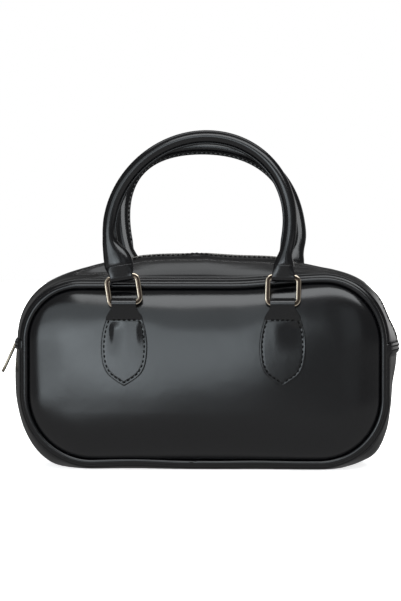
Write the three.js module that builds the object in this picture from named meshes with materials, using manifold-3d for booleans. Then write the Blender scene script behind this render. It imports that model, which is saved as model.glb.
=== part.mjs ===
// A small structured handbag in smooth black leather: two crowned panels edged
// with piping, a gusset with a zip over the top and a base strip round the
// bottom, and two rolled handles that hang on rectangular rings.
// Millimetres, +Z up, +X to the right of someone who faces the front, and the
// front towards -Y. The origin is the middle of the base, on the surface that
// the bag stands on.
import * as THREE from 'three';
import { mergeVertices } from 'three/addons/utils/BufferGeometryUtils.js';
import Module from 'manifold-3d';

const wasm = await Module();
wasm.setup();

// Driving dimensions
const PANEL_WIDTH = 282; // across the centre line of the piping
const PANEL_HEIGHT = 139;
const BAG_DEPTH = 104; // from the front piping to the back piping
const BASE_DROP = 6.5; // the base hangs this far below the piping's centre line
const CORNER_RADIUS = { bottomRight: 51, topRight: 47, topLeft: 43, bottomLeft: 54 };
const TOP_RISE = { height: 5, from: 20, to: 95 }; // the top edge climbs to the right corner
const WALL = 2; // leather with its backing
const GAP = 0.3; // clearance between pieces that touch

// Panels: a padded roll along the edge, then a shallow belly
const CROWN_HEIGHT = 10.5;
const CROWN_REACH = 50; // the roll flattens out this far in from the edge
const BELLY_HEIGHT = 3;
const PANEL_RINGS = [0, 2, 6, 13, 24, 36]; // distances in from the panel's edge
const PANEL_CORE = { x: 0.62, z: 0.4 }; // the last ring shrinks to this share of itself

const PIPING_RADIUS = 2.5;
const PIPING_SIDES = 8;

// How far the middle of the gusset stands out from the piping's line, on the
// left and right. The way round is counted from the middle of the base, 0, to
// the middle of the top, 1.
const BULGE = [
  { along: 0, left: 12, right: 12 },
  { along: 0.24, left: 12, right: 12 },
  { along: 0.28, left: 12.4, right: 10.4 },
  { along: 0.31, left: 15, right: 12 },
  { along: 0.34, left: 15, right: 13.8 },
  { along: 0.38, left: 13.1, right: 10.2 },
  { along: 0.42, left: 11.6, right: 7 },
  { along: 0.47, left: 12.4, right: 7.5 },
  { along: 0.52, left: 12.4, right: 10.6 },
  { along: 0.56, left: 11.3, right: 10.7 },
  { along: 0.6, left: 10.7, right: 6.7 },
  { along: 0.65, left: 10, right: 7.5 },
  { along: 0.72, left: 9.7, right: 6 },
  { along: 0.75, left: 11.5, right: 7.5 },
  { along: 0.8, left: 16.5, right: 13 },
  { along: 0.87, left: 22.4, right: 20 },
  { along: 1, left: 24, right: 24 },
];

// Half of the gusset's section, from the piping to mid depth: a stiff shoulder
// beside the seam, a dip, and then the share of the bulge that is reached.
const GUSSET_PROFILE = [
  { setback: 2.9, shoulder: -1.5, dome: 0 },
  { setback: 3.6, shoulder: 2.2, dome: 0 },
  { setback: 5.5, shoulder: 4.6, dome: 0 },
  { setback: 8, shoulder: 4.8, dome: 0.05 },
  { setback: 12, shoulder: 4.2, dome: 0.18 },
  { setback: 20, shoulder: 4.2, dome: 0.48 },
  { setback: 30, shoulder: 4.2, dome: 0.78 },
  { setback: 41, shoulder: 4.2, dome: 0.955 },
  { setback: BAG_DEPTH / 2, shoulder: 4.2, dome: 1 },
];
const SHOULDER_LEVEL = 4.2;
const END_DIP = { depth: 6.4, up: 45, down: 25, sharpness: 12 }; // hollow at the zip's left end
const HEM_LENGTH = 8; // the turned ends of the base strip
const HEM_RISE = 1.5;

// Zip
const ZIP_SLOT = 10; // between the two edges of the zip gusset
const TAPE_OVERLAP = 3; // how far the tape runs under each edge
const TAPE_THICKNESS = 1;
const TAPE_SINK = WALL + 0.7; // the tape's face lies this far below the leather's
const TEETH_WIDTH = 6;
const TEETH_RISE = -0.2; // above the leather's face
const TEETH_THICKNESS = 1.8;
const SLIDER = { length: 11, width: 8.5, tail: 6.5, thickness: 1.8, clearance: 0.5 };
const BRIDGE = { span: 9, height: 3.8, opening: 5.6, headroom: 2.4, width: 1.8 };
const PULL = { length: 36, width: 7, neck: 5.2, thickness: 1.6, bar: 1.4 };
const PULL_EYE = { width: 3.6, length: 4.4 };
const PULL_HANG = 25; // degrees from plumb, outwards
const PULL_SLIDE = 1.7; // the eye rests this far down the bridge from its middle
const SLIDER_ANGLE = 7; // degrees round the top left corner from the end of the zip

// Rings, and the leather loops that hold them
const TAB_X = 62; // middle of a tab, left or right of the bag's middle
const RING_BAR_HEIGHT = 132; // of the lower bars, which are the handles' hinge line
const RING_WIRE = 1.6; // radius
const RING_INSIDE_WIDTH = 21;
const RING_RISE = 21; // lower bar to upper bar, between centres
const RING_CORNER = 4;
const LOOP_WALL = 1.6;
const TAB_LOOP_BORE = 3.5; // slack, so that a tilted ring still turns in it
const TAB_LOOP_WIDTH = 17;
const TAB_LOOP_REACH = 12;
const HANDLE_LOOP_BORE = 2;
const HANDLE_LOOP_WIDTH = 19;
const HANDLE_LOOP_REACH = 9;

// Tabs: half the width, by the drop below the ring's lower bar
const TAB_THICKNESS = 1.8;
const TONGUE_HALF_WIDTH = 10; // the folded end inside the tab lifts its middle
const TONGUE_RISE = 1.3;
const TAB_ROWS = [
  { drop: 7, half_width: 12.4, tongue: 1 },
  { drop: 11, half_width: 13.8, tongue: 1 },
  { drop: 20, half_width: 16.6, tongue: 1 },
  { drop: 30, half_width: 18.1, tongue: 0.7 },
  { drop: 36, half_width: 18.2, tongue: 0 },
  { drop: 44, half_width: 17.5, tongue: 0 },
  { drop: 50, half_width: 16, tongue: 0 },
  { drop: 56, half_width: 12.4, tongue: 0 },
  { drop: 61, half_width: 6, tongue: 0 },
  { drop: 64, half_width: 0.6, tongue: 0 },
];
const TAB_COLUMNS = [-1, -0.62, -0.5, 0, 0.5, 0.62, 1];

// Handles: the arch in its own plane, measured from the hinge line
const ARCH_SPREAD = 71; // middle to leg, between centres
const ARCH_SPRING = 60; // height at which the legs turn into the arch
const ARCH_TOP = 131;
const HANDLE_SIDES = 8;
const HANDLE_STEP = 16;
const HANDLE_SECTIONS = [
  { from_foot: 0, half_width: 9.4, half_depth: 2.3 },
  { from_foot: 6, half_width: 9.4, half_depth: 2.6 },
  { from_foot: 11, half_width: 7.8, half_depth: 3.7 },
  { from_foot: 17, half_width: 5.6, half_depth: 4.7 },
  { from_foot: 25, half_width: 4.9, half_depth: 5 },
  { from_foot: 40, half_width: 5.4, half_depth: 5.4 },
];
// Lean is in degrees towards the middle of the bag. Shift is where the middle of
// the legs is, skew moves the top of the arch sideways, and splay spreads the legs.
// Roundness is the control length of the arch's quarters: 0.5523 is a true round.
// Each ring slides a little in its tab's loop and tilts.
const HANDLES = [
  {
    side: 'front',
    lean: 5,
    shift: -3.1,
    skew: 5.2,
    splay: 0,
    roundness: 0.5523,
    rings: [
      { hand: 'left', x: 1.2 - TAB_X, tilt: -9 },
      { hand: 'right', x: TAB_X, tilt: 1.5 },
    ],
  },
  {
    side: 'back',
    lean: -18,
    shift: -0.8,
    skew: -8.2,
    splay: 1.9,
    roundness: 0.65,
    rings: [
      { hand: 'left', x: -TAB_X, tilt: -9 },
      { hand: 'right', x: TAB_X, tilt: 8 },
    ],
  },
];

const LEATHER = new THREE.MeshStandardMaterial({ color: 0x16181a, roughness: 0.35, metalness: 0 });
const TAPE_CLOTH = new THREE.MeshStandardMaterial({ color: 0x101112, roughness: 0.9, metalness: 0 });
const DARK_TEETH = new THREE.MeshStandardMaterial({ color: 0x2b2c2e, roughness: 0.35, metalness: 0.9 });
const PALE_GOLD = new THREE.MeshStandardMaterial({ color: 0xcdbb9c, roughness: 0.22, metalness: 1 });

const HALF_DEPTH = BAG_DEPTH / 2;
const PANEL_MIDDLE = BASE_DROP + PANEL_HEIGHT / 2;
const PANEL_INSET = PIPING_RADIUS + GAP;
const radians = THREE.MathUtils.degToRad;
const smooth = (share) => THREE.MathUtils.smoothstep(share, 0, 1);

// A smooth curve through one column of a table, against another column.
function column(rows, key, value, at) {
  const last = rows.length - 1;
  if (at <= rows[0][key]) return rows[0][value];
  if (at >= rows[last][key]) return rows[last][value];
  const i = rows.findIndex((row) => row[key] > at) - 1;
  const slope = (k) => {
    const a = rows[Math.max(k - 1, 0)];
    const b = rows[Math.min(k + 1, last)];
    return (b[value] - a[value]) / (b[key] - a[key]);
  };
  const span = rows[i + 1][key] - rows[i][key];
  const t = (at - rows[i][key]) / span;
  return (
    rows[i][value] * (1 + 2 * t) * (1 - t) ** 2 +
    slope(i) * span * t * (1 - t) ** 2 +
    rows[i + 1][value] * t * t * (3 - 2 * t) +
    slope(i + 1) * span * t * t * (t - 1)
  );
}

// Turns a mesh right way out, so that its volume is positive.
function facingOut(geometry) {
  const at = geometry.attributes.position;
  const corners = geometry.index.array;
  const [a, b, c] = [new THREE.Vector3(), new THREE.Vector3(), new THREE.Vector3()];
  let volume = 0;
  for (let i = 0; i < corners.length; i += 3) {
    a.fromBufferAttribute(at, corners[i]);
    b.fromBufferAttribute(at, corners[i + 1]);
    c.fromBufferAttribute(at, corners[i + 2]);
    volume += a.dot(b.cross(c));
  }
  if (volume < 0) geometry.index.array.reverse();
  return geometry;
}

// A skin over rings of points. Open ends are closed by a fan to their middle,
// or across the wall where each ring is the section of a strip.
function loft(rings, { closed = false, cap = 'fan' } = {}) {
  const size = rings[0].length;
  const points = rings.flat();
  const index = [];
  const quad = (a, b, c, d) => index.push(a, b, c, a, c, d);
  for (let r = 0; r < rings.length - (closed ? 0 : 1); r++) {
    const here = r * size;
    const next = ((r + 1) % rings.length) * size;
    for (let k = 0; k < size; k++) {
      const beside = (k + 1) % size;
      quad(here + k, here + beside, next + beside, next + k);
    }
  }
  const ends = closed ? [] : [0, rings.length - 1];
  for (const end of ends) {
    const start = end * size;
    const face = (a, b, c) => (end ? index.push(a, b, c) : index.push(a, c, b));
    if (cap === 'strip') {
      for (let k = 0; k < size / 2 - 1; k++) {
        face(start + k, start + k + 1, start + size - 2 - k);
        face(start + k, start + size - 2 - k, start + size - 1 - k);
      }
    } else {
      const middle = rings[end].reduce((sum, p) => sum.add(p), new THREE.Vector3());
      points.push(middle.divideScalar(size));
      for (let k = 0; k < size; k++) face(start + k, start + ((k + 1) % size), points.length - 1);
    }
  }
  return facingOut(new THREE.BufferGeometry().setFromPoints(points).setIndex(index));
}

function solidOf(geometry) {
  const bare = new THREE.BufferGeometry();
  bare.setAttribute('position', geometry.attributes.position);
  bare.setIndex(geometry.index);
  const { attributes, index } = facingOut(mergeVertices(bare, 1e-4));
  return new wasm.Manifold(
    new wasm.Mesh({
      numProp: 3,
      vertProperties: attributes.position.array,
      triVerts: new Uint32Array(index.array),
    }),
  );
}

function fused(...geometries) {
  const whole = geometries.map(solidOf).reduce((sum, next) => sum.add(next)).getMesh();
  return new THREE.BufferGeometry()
    .setAttribute('position', new THREE.BufferAttribute(whole.vertProperties, 3))
    .setIndex(new THREE.BufferAttribute(whole.triVerts, 1));
}

// Stations round a rounded rectangle, anticlockwise from its lower right
// corner, each with its place, the direction straight out, and the way round.
const CORNERS = [
  { corner: 'bottomRight', x: 1, z: -1, from: -90 },
  { corner: 'topRight', x: 1, z: 1, from: 0 },
  { corner: 'topLeft', x: -1, z: 1, from: 90 },
  { corner: 'bottomLeft', x: -1, z: -1, from: 180 },
];

function outline(width, height, radius, arcSteps, straightStep) {
  const stations = [];
  for (const { corner, x, z, from } of CORNERS) {
    const r = radius[corner];
    const centre = new THREE.Vector2(x * (width / 2 - r), z * (height / 2 - r));
    for (let i = 0; i <= arcSteps; i++) {
      const angle = radians(from + (90 * i) / arcSteps);
      const out = new THREE.Vector2(Math.cos(angle), Math.sin(angle));
      stations.push({ corner, out, point: centre.clone().addScaledVector(out, r) });
    }
  }
  const round = stations.flatMap((here, i) => {
    const next = stations[(i + 1) % stations.length];
    if (next.corner === here.corner) return [here];
    const steps = Math.round(here.point.distanceTo(next.point) / straightStep);
    const between = Array.from({ length: steps - 1 }, (_, k) => ({
      corner: null,
      out: here.out,
      point: here.point.clone().lerp(next.point, (k + 1) / steps),
    }));
    return [here, ...between];
  });
  const lengths = round.map((s, i) => s.point.distanceTo(round[(i + 1) % round.length].point));
  const whole = lengths.reduce((sum, x) => sum + x, 0);
  let run = round[0].point.x;
  round.forEach((station, i) => {
    station.along = 1 - Math.abs(1 - (2 * run) / whole);
    run += lengths[i];
  });
  return round;
}

// The same station, moved along the outline's straight.
function shifted(station, distance) {
  const ahead = new THREE.Vector2(-station.out.y, station.out.x);
  return { ...station, point: station.point.clone().addScaledVector(ahead, distance) };
}

// A point of the bag: out from a station by lift, and back from the front
// piping by setback.
function placed(station, setback, lift) {
  const { point, out } = station;
  return new THREE.Vector3(
    point.x + out.x * lift,
    setback - HALF_DEPTH,
    PANEL_MIDDLE + point.y + out.y * lift,
  );
}

// The upper half of the panel is stretched a little towards the right corner.
function upperStretch(x) {
  const { height, from, to } = TOP_RISE;
  return 1 + (height * THREE.MathUtils.smoothstep(x, from, to)) / (PANEL_HEIGHT / 2);
}

const ROUND = outline(PANEL_WIDTH, PANEL_HEIGHT, CORNER_RADIUS, 6, 26);
for (const { point } of ROUND) {
  if (point.y > 0) point.y *= upperStretch(point.x);
}
const ZIP_FIRST = ROUND.findIndex((s) => s.corner === 'topRight');
const ZIP_LAST = ROUND.findLastIndex((s) => s.corner === 'topLeft');
const ZIP_STATIONS = ROUND.slice(ZIP_FIRST, ZIP_LAST + 1);
ZIP_STATIONS[0] = shifted(ZIP_STATIONS[0], GAP);
ZIP_STATIONS.splice(-1, 1, shifted(ZIP_STATIONS.at(-1), -GAP));

function cordAlong(stations, radius, sides, setback) {
  const rings = stations.map((station) =>
    Array.from({ length: sides }, (_, k) => {
      const angle = (2 * Math.PI * (k + 0.5)) / sides;
      return placed(station, setback + radius * Math.sin(angle), radius * Math.cos(angle));
    }),
  );
  return loft(rings, { closed: true });
}

// How far the gusset's face stands out from the piping's line.
function gussetLift({ along, point }, setback) {
  const fromSeam = Math.min(setback, BAG_DEPTH - setback);
  const above = point.y - ROUND[ZIP_LAST].point.y;
  const dip = point.x < 0 ? smooth(1 - Math.abs(above) / (above > 0 ? END_DIP.up : END_DIP.down)) : 0;
  const bulge = column(BULGE, 'along', point.x < 0 ? 'left' : 'right', along);
  const dome = column(GUSSET_PROFILE, 'setback', 'dome', fromSeam);
  const shoulder = column(GUSSET_PROFILE, 'setback', 'shoulder', fromSeam);
  return shoulder + dome * (bulge - SHOULDER_LEVEL) - dip * END_DIP.depth * dome ** END_DIP.sharpness;
}

// The closed section of a wall whose face is given as setback and lift. The
// wall lies flat where it rests on the ground.
function wallSection(station, face, thickness) {
  const back = face.map((p, i) => {
    const before = face[Math.max(i - 1, 0)];
    const after = face[Math.min(i + 1, face.length - 1)];
    const run = new THREE.Vector2(after.x - before.x, after.y - before.y).normalize();
    return new THREE.Vector2(p.x + run.y * thickness, p.y - run.x * thickness);
  });
  const outer = face.map((p) => placed(station, p.x, p.y));
  const inner = back.map((p) => placed(station, p.x, p.y));
  outer.forEach((p) => p.setZ(Math.max(p.z, 0)));
  inner.forEach((p) => p.setZ(Math.max(p.z, thickness)));
  return [...outer, ...inner.reverse()];
}

function gussetFace(station, setbacks, rise = 0) {
  return setbacks.map((s) => new THREE.Vector2(s, gussetLift(station, s) + rise));
}

function zipGusset() {
  const edge = HALF_DEPTH - ZIP_SLOT / 2;
  const setbacks = GUSSET_PROFILE.map((row) => row.setback).filter((s) => s < edge);
  const rings = ZIP_STATIONS.map((station) =>
    wallSection(station, gussetFace(station, [...setbacks, edge]), WALL),
  );
  return loft(rings, { cap: 'strip' });
}

function baseGusset() {
  const half = GUSSET_PROFILE.map((row) => row.setback);
  const setbacks = [...half, ...half.slice(0, -1).reverse().map((s) => BAG_DEPTH - s)];
  const leftEnd = ROUND[ZIP_LAST];
  const rightEnd = ROUND[ZIP_FIRST];
  const plain = [...ROUND.slice(ZIP_LAST + 1), ...ROUND.slice(0, ZIP_FIRST)];
  const stations = [
    { ...leftEnd, rise: HEM_RISE },
    { ...shifted(leftEnd, HEM_LENGTH), rise: HEM_RISE },
    shifted(leftEnd, HEM_LENGTH + HEM_RISE),
    ...plain,
    shifted(rightEnd, -HEM_LENGTH - HEM_RISE),
    { ...shifted(rightEnd, -HEM_LENGTH), rise: HEM_RISE },
    { ...rightEnd, rise: HEM_RISE },
  ];
  const rings = stations.map((station) =>
    wallSection(station, gussetFace(station, setbacks, station.rise), WALL),
  );
  return loft(rings, { cap: 'strip' });
}

function zipTape() {
  const reach = ZIP_SLOT / 2 + TAPE_OVERLAP;
  const setbacks = [-reach, -reach / 2, 0, reach / 2, reach].map((s) => HALF_DEPTH + s);
  const rings = ZIP_STATIONS.map((station) =>
    wallSection(station, gussetFace(station, setbacks, -TAPE_SINK), TAPE_THICKNESS),
  );
  return loft(rings, { cap: 'strip' });
}

function zipTeeth() {
  const setbacks = [-TEETH_WIDTH / 2, TEETH_WIDTH / 2].map((s) => HALF_DEPTH + s);
  const rings = ZIP_STATIONS.map((station) => {
    const level = gussetLift(station, HALF_DEPTH) + TEETH_RISE;
    const face = setbacks.map((s) => new THREE.Vector2(s, level));
    return wallSection(station, face, TEETH_THICKNESS);
  });
  return loft(rings, { cap: 'strip' });
}

// Distance in from the panel's edge, which follows the piping.
function edgeDistance(x, z) {
  const up = z > PANEL_MIDDLE ? (z - PANEL_MIDDLE) / upperStretch(x) : z - PANEL_MIDDLE;
  const { corner } = CORNERS.find((c) => c.x * x >= 0 && c.z * up >= 0);
  const r = CORNER_RADIUS[corner];
  const dx = Math.abs(x) - PANEL_WIDTH / 2 + r;
  const dz = Math.abs(up) - PANEL_HEIGHT / 2 + r;
  const outside = Math.hypot(Math.max(dx, 0), Math.max(dz, 0));
  return r - PANEL_INSET - outside - Math.min(Math.max(dx, dz), 0);
}

// How far the panel's face stands out from the plane of its piping.
function panelCrown(x, z) {
  const reached = THREE.MathUtils.clamp(edgeDistance(x, z) / CROWN_REACH, 0, 1);
  const across = 1 - (x / (PANEL_WIDTH / 2)) ** 2;
  const up = 1 - ((z - PANEL_MIDDLE) / (PANEL_HEIGHT / 2)) ** 2;
  return CROWN_HEIGHT * Math.sqrt(1 - (1 - reached) ** 2) + BELLY_HEIGHT * across * up;
}

function panel() {
  const at = (station, inset, depth) => {
    const p = placed(station, 0, -inset);
    return p.setY(-HALF_DEPTH - depth);
  };
  const face = ROUND.map((station) =>
    PANEL_RINGS.map((d) => {
      const { x, z } = at(station, PANEL_INSET + d, 0);
      return new THREE.Vector2(PANEL_INSET + d, panelCrown(x, z));
    }),
  );
  const back = face.map((row) =>
    row.map((p, i) => {
      const before = row[Math.max(i - 1, 0)];
      const after = row[Math.min(i + 1, row.length - 1)];
      const run = after.clone().sub(before).normalize();
      return new THREE.Vector2(p.x + run.y * WALL, p.y - run.x * WALL);
    }),
  );
  const ring = (rows, i) => ROUND.map((station, k) => at(station, rows[k][i].x, rows[k][i].y));
  const core = (thickness) =>
    ring(face, PANEL_RINGS.length - 1).map((p) => {
      const x = p.x * PANEL_CORE.x;
      const z = PANEL_MIDDLE + (p.z - PANEL_MIDDLE) * PANEL_CORE.z;
      return new THREE.Vector3(x, -HALF_DEPTH - panelCrown(x, z) + thickness, z);
    });
  const outer = PANEL_RINGS.map((_, i) => ring(face, i));
  const inner = PANEL_RINGS.map((_, i) => ring(back, i));
  return loft([core(0), ...outer.reverse(), ...inner, core(WALL)]);
}

// A leather loop round a bar: a teardrop section with the bar's bore, as wide
// as the strap, that ends in the strap's two faces. It runs up from the bar.
function strapLoop(bore, width, reach, ends) {
  const radius = bore + LOOP_WALL;
  const shape = new THREE.Shape();
  shape.moveTo(ends[1], reach);
  shape.lineTo(ends[0], reach);
  shape.lineTo(-radius, 0);
  shape.absarc(0, 0, radius, Math.PI, 2 * Math.PI);
  shape.holes.push(new THREE.Path().absarc(0, 0, bore, 0, 2 * Math.PI, true));
  const geometry = new THREE.ExtrudeGeometry(shape, {
    depth: width,
    bevelEnabled: false,
    curveSegments: 6,
  });
  const across = new THREE.Matrix4().makeBasis(
    new THREE.Vector3(0, 1, 0),
    new THREE.Vector3(0, 0, 1),
    new THREE.Vector3(1, 0, 0),
  );
  return geometry.translate(0, 0, -width / 2).applyMatrix4(across);
}

// The hinge line of a handle stands this far in front of the bag's middle.
const TAB_LOOP_STAND = TAB_LOOP_BORE + LOOP_WALL + 3 * GAP;
const HINGE_OUT = HALF_DEPTH + panelCrown(TAB_X, RING_BAR_HEIGHT) + TAB_LOOP_STAND;

function tab(x) {
  const seat = (across, drop) =>
    HALF_DEPTH + panelCrown(x + across, RING_BAR_HEIGHT - drop) + GAP;
  const rings = TAB_ROWS.map(({ drop, half_width, tongue }) => {
    const across = TAB_COLUMNS.map((share) => share * half_width);
    const z = RING_BAR_HEIGHT - drop;
    const outer = across.map((a) => {
      const raised = Math.abs(a) <= TONGUE_HALF_WIDTH ? tongue * TONGUE_RISE : 0;
      return new THREE.Vector3(x + a, -seat(a, drop) - TAB_THICKNESS - raised, z);
    });
    const inner = across.map((a) => new THREE.Vector3(x + a, -seat(a, drop), z));
    return [...outer, ...inner.reverse()];
  });
  const end = seat(0, TAB_LOOP_REACH) - HINGE_OUT;
  const loop = strapLoop(TAB_LOOP_BORE, TAB_LOOP_WIDTH, TAB_LOOP_REACH, [
    -end - TAB_THICKNESS,
    -end,
  ]);
  loop.scale(1, 1, -1).translate(x, -HINGE_OUT, RING_BAR_HEIGHT);
  return fused(loft(rings, { cap: 'strip' }), loop);
}

function ring() {
  const corner = RING_CORNER;
  const radius = { bottomRight: corner, topRight: corner, topLeft: corner, bottomLeft: corner };
  const width = RING_INSIDE_WIDTH + 2 * RING_WIRE;
  const stations = outline(width, RING_RISE, radius, 3, 40);
  const wire = cordAlong(stations, RING_WIRE, 8, HALF_DEPTH);
  return wire.translate(0, 0, RING_RISE / 2 - PANEL_MIDDLE);
}

// Where the middle of a ring's upper bar is, in the handle's plane, and the
// direction in which the ring points.
function ringTop({ x, tilt }) {
  const up = new THREE.Vector2(Math.sin(radians(tilt)), Math.cos(radians(tilt)));
  return { up, point: new THREE.Vector2(x, 0).addScaledVector(up, RING_RISE) };
}

function handlePath({ shift, skew, splay, roundness, rings }) {
  const legReach = 18; // how far a leg keeps its ring's direction
  const spread = ARCH_SPREAD + splay;
  const rise = ARCH_TOP - ARCH_SPRING;
  const [left, right] = rings.map((end) => {
    const { up, point } = ringTop(end);
    const foot = point.clone().addScaledVector(up, HANDLE_LOOP_BORE + LOOP_WALL / 2);
    const x = shift + Math.sign(end.x) * spread;
    return {
      foot,
      ankle: foot.clone().addScaledVector(up, legReach),
      knee: new THREE.Vector2(x - (skew * legReach) / rise, ARCH_SPRING - legReach),
      spring: new THREE.Vector2(x, ARCH_SPRING),
      haunch: new THREE.Vector2(x + roundness * skew, ARCH_SPRING + roundness * rise),
      crest: new THREE.Vector2(x + skew - (1 - roundness) * Math.sign(end.x) * spread, ARCH_TOP),
    };
  });
  const top = new THREE.Vector2(shift + skew, ARCH_TOP);
  const path = new THREE.CurvePath();
  path.add(new THREE.CubicBezierCurve(left.foot, left.ankle, left.knee, left.spring));
  path.add(new THREE.CubicBezierCurve(left.spring, left.haunch, left.crest, top));
  path.add(new THREE.CubicBezierCurve(top, right.crest, right.haunch, right.spring));
  path.add(new THREE.CubicBezierCurve(right.spring, right.knee, right.ankle, right.foot));
  return path;
}

function handle(shape) {
  const path = handlePath(shape);
  const whole = path.getLength();
  const feet = HANDLE_SECTIONS.map((row) => row.from_foot);
  const steps = Math.round((whole - 2 * feet.at(-1)) / HANDLE_STEP);
  const arch = Array.from({ length: steps - 1 }, (_, i) => {
    return feet.at(-1) + ((whole - 2 * feet.at(-1)) * (i + 1)) / steps;
  });
  const runs = [...feet, ...arch, ...feet.toReversed().map((d) => whole - d)];
  const rings = runs.map((run) => {
    const middle = path.getPoint(run / whole);
    const along = path.getTangent(run / whole);
    const fromFoot = Math.min(run, whole - run);
    const width = column(HANDLE_SECTIONS, 'from_foot', 'half_width', fromFoot);
    const depth = column(HANDLE_SECTIONS, 'from_foot', 'half_depth', fromFoot);
    return Array.from({ length: HANDLE_SIDES }, (_, k) => {
      const angle = (2 * Math.PI * k) / HANDLE_SIDES;
      const side = width * Math.cos(angle);
      const [x, z] = [middle.x - along.y * side, middle.y + along.x * side];
      return new THREE.Vector3(x, depth * Math.sin(angle), z);
    });
  });
  const ends = [-HANDLE_SECTIONS[1].half_depth, HANDLE_SECTIONS[1].half_depth];
  const loops = shape.rings.map((end) => {
    const { point } = ringTop(end);
    const loop = strapLoop(HANDLE_LOOP_BORE, HANDLE_LOOP_WIDTH, HANDLE_LOOP_REACH, ends);
    return loop.rotateY(radians(end.tilt)).translate(point.x, 0, point.y);
  });
  return fused(loft(rings), ...loops);
}

// The slider and its pull are drawn with their length along the zip: X is
// along, Y across, Z out of the bag.
function sliderBody() {
  const { length, width, tail, thickness } = SLIDER;
  const plan = new THREE.Shape();
  plan.moveTo(-length / 2, -tail / 2);
  plan.lineTo(length / 4, -width / 2);
  plan.lineTo(length / 2, -width / 3);
  plan.lineTo(length / 2, width / 3);
  plan.lineTo(length / 4, width / 2);
  plan.lineTo(-length / 2, tail / 2);
  const plate = new THREE.ExtrudeGeometry(plan, { depth: thickness, bevelEnabled: false });
  const { span, height, opening, headroom, width: thick } = BRIDGE;
  const arch = new THREE.Shape();
  arch.moveTo(-span / 2, -0.5);
  arch.lineTo(span / 2, -0.5);
  arch.lineTo(span / 2, headroom);
  arch.lineTo(opening / 2, height);
  arch.lineTo(-opening / 2, height);
  arch.lineTo(-span / 2, headroom);
  const hole = new THREE.Path();
  hole.moveTo(-opening / 2, 0);
  hole.lineTo(-opening / 2, headroom);
  hole.lineTo(opening / 2, headroom);
  hole.lineTo(opening / 2, 0);
  arch.holes.push(hole);
  const bridge = new THREE.ExtrudeGeometry(arch, { depth: thick, bevelEnabled: false });
  bridge.translate(0, 0, -thick / 2).rotateX(Math.PI / 2).translate(0, 0, thickness);
  return fused(plate, bridge);
}

// The pull hangs from the origin along -Z, with its eye round the bridge.
function pullPlate() {
  const { length, width, neck, thickness, bar } = PULL;
  const plan = new THREE.Shape();
  plan.moveTo(-neck / 2, bar / 2);
  plan.lineTo(neck / 2, bar / 2);
  plan.lineTo(neck / 2, -PULL_EYE.length - bar);
  plan.lineTo(width / 2, -PULL_EYE.length - 3 * bar);
  plan.lineTo(width / 2, -length + width / 2);
  plan.absarc(0, -length + width / 2, width / 2, 0, -Math.PI, true);
  plan.lineTo(-width / 2, -PULL_EYE.length - 3 * bar);
  plan.lineTo(-neck / 2, -PULL_EYE.length - bar);
  const eye = new THREE.Path();
  eye.moveTo(-PULL_EYE.width / 2, -bar / 2);
  eye.lineTo(-PULL_EYE.width / 2, -bar / 2 - PULL_EYE.length);
  eye.lineTo(PULL_EYE.width / 2, -bar / 2 - PULL_EYE.length);
  eye.lineTo(PULL_EYE.width / 2, -bar / 2);
  plan.holes.push(eye);
  const plate = new THREE.ExtrudeGeometry(plan, {
    depth: thickness,
    bevelEnabled: false,
    curveSegments: 8,
  });
  const across = new THREE.Matrix4().makeBasis(
    new THREE.Vector3(0, 1, 0),
    new THREE.Vector3(0, 0, 1),
    new THREE.Vector3(1, 0, 0),
  );
  return plate.translate(0, 0, -thickness / 2).applyMatrix4(across);
}

function named(name, geometry, material) {
  const mesh = new THREE.Mesh(geometry, material);
  mesh.name = name;
  return mesh;
}

// The front or the back: its panel, piping, zip strip, tabs, rings and handle.
function face({ side, lean, ...shape }) {
  const half = new THREE.Group();
  half.add(named(`${side}_panel`, panel(), LEATHER));
  half.add(named(`${side}_piping`, cordAlong(ROUND, PIPING_RADIUS, PIPING_SIDES, 0), LEATHER));
  half.add(named(`${side}_zip_gusset`, zipGusset(), LEATHER));
  const swing = new THREE.Group();
  swing.position.set(0, -HINGE_OUT, RING_BAR_HEIGHT);
  swing.rotation.x = -radians(lean);
  swing.add(named(`${side}_handle`, handle(shape), LEATHER));
  for (const { hand, x, tilt } of shape.rings) {
    half.add(named(`${side}_tab_${hand}`, tab(Math.sign(x) * TAB_X), LEATHER));
    const metal = named(`${side}_ring_${hand}`, ring(), PALE_GOLD);
    metal.position.x = x;
    metal.rotation.y = radians(tilt);
    swing.add(metal);
  }
  half.add(swing);
  if (side === 'back') half.scale.y = -1;
  return half;
}

// The slider waits at the left end of the zip, just above the base strip.
function zipFastener() {
  const r = CORNER_RADIUS.topLeft;
  const angle = radians(180 - SLIDER_ANGLE);
  const out = new THREE.Vector2(Math.cos(angle), Math.sin(angle));
  const centre = new THREE.Vector2(r - PANEL_WIDTH / 2, PANEL_HEIGHT / 2 - r);
  const { along } = ZIP_STATIONS.at(-1);
  const station = { along, out, point: centre.addScaledVector(out, r) };
  const level = gussetLift(station, HALF_DEPTH) + TEETH_RISE + SLIDER.clearance;
  const fastener = new THREE.Group();
  const slider = named('zip_slider', sliderBody(), PALE_GOLD);
  slider.position.copy(placed(station, HALF_DEPTH, level));
  slider.rotation.y = Math.PI / 2 - angle;
  slider.updateMatrix();
  const pull = named('zip_pull', pullPlate(), PALE_GOLD);
  const headroom = SLIDER.thickness + BRIDGE.headroom / 2;
  pull.position.set(-PULL_SLIDE, 0, headroom).applyMatrix4(slider.matrix);
  pull.rotation.y = radians(PULL_HANG);
  fastener.add(slider, pull);
  return fastener;
}

const bag = new THREE.Group();
bag.add(...HANDLES.map(face));
bag.add(named('base_gusset', baseGusset(), LEATHER));
bag.add(named('zip_tape', zipTape(), TAPE_CLOTH));
bag.add(named('zip_teeth', zipTeeth(), DARK_TEETH));
bag.add(zipFastener());

export default bag;
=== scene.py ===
"""A small structured handbag in glossy black coated leather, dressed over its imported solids.

The panels, strips, tabs, rings, handles and zip are modelled here in metres, in the solids' own
frame: +X to the right of someone who faces the front, -Y out of the front, +Z up.
"""

import math
from collections import namedtuple

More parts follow.
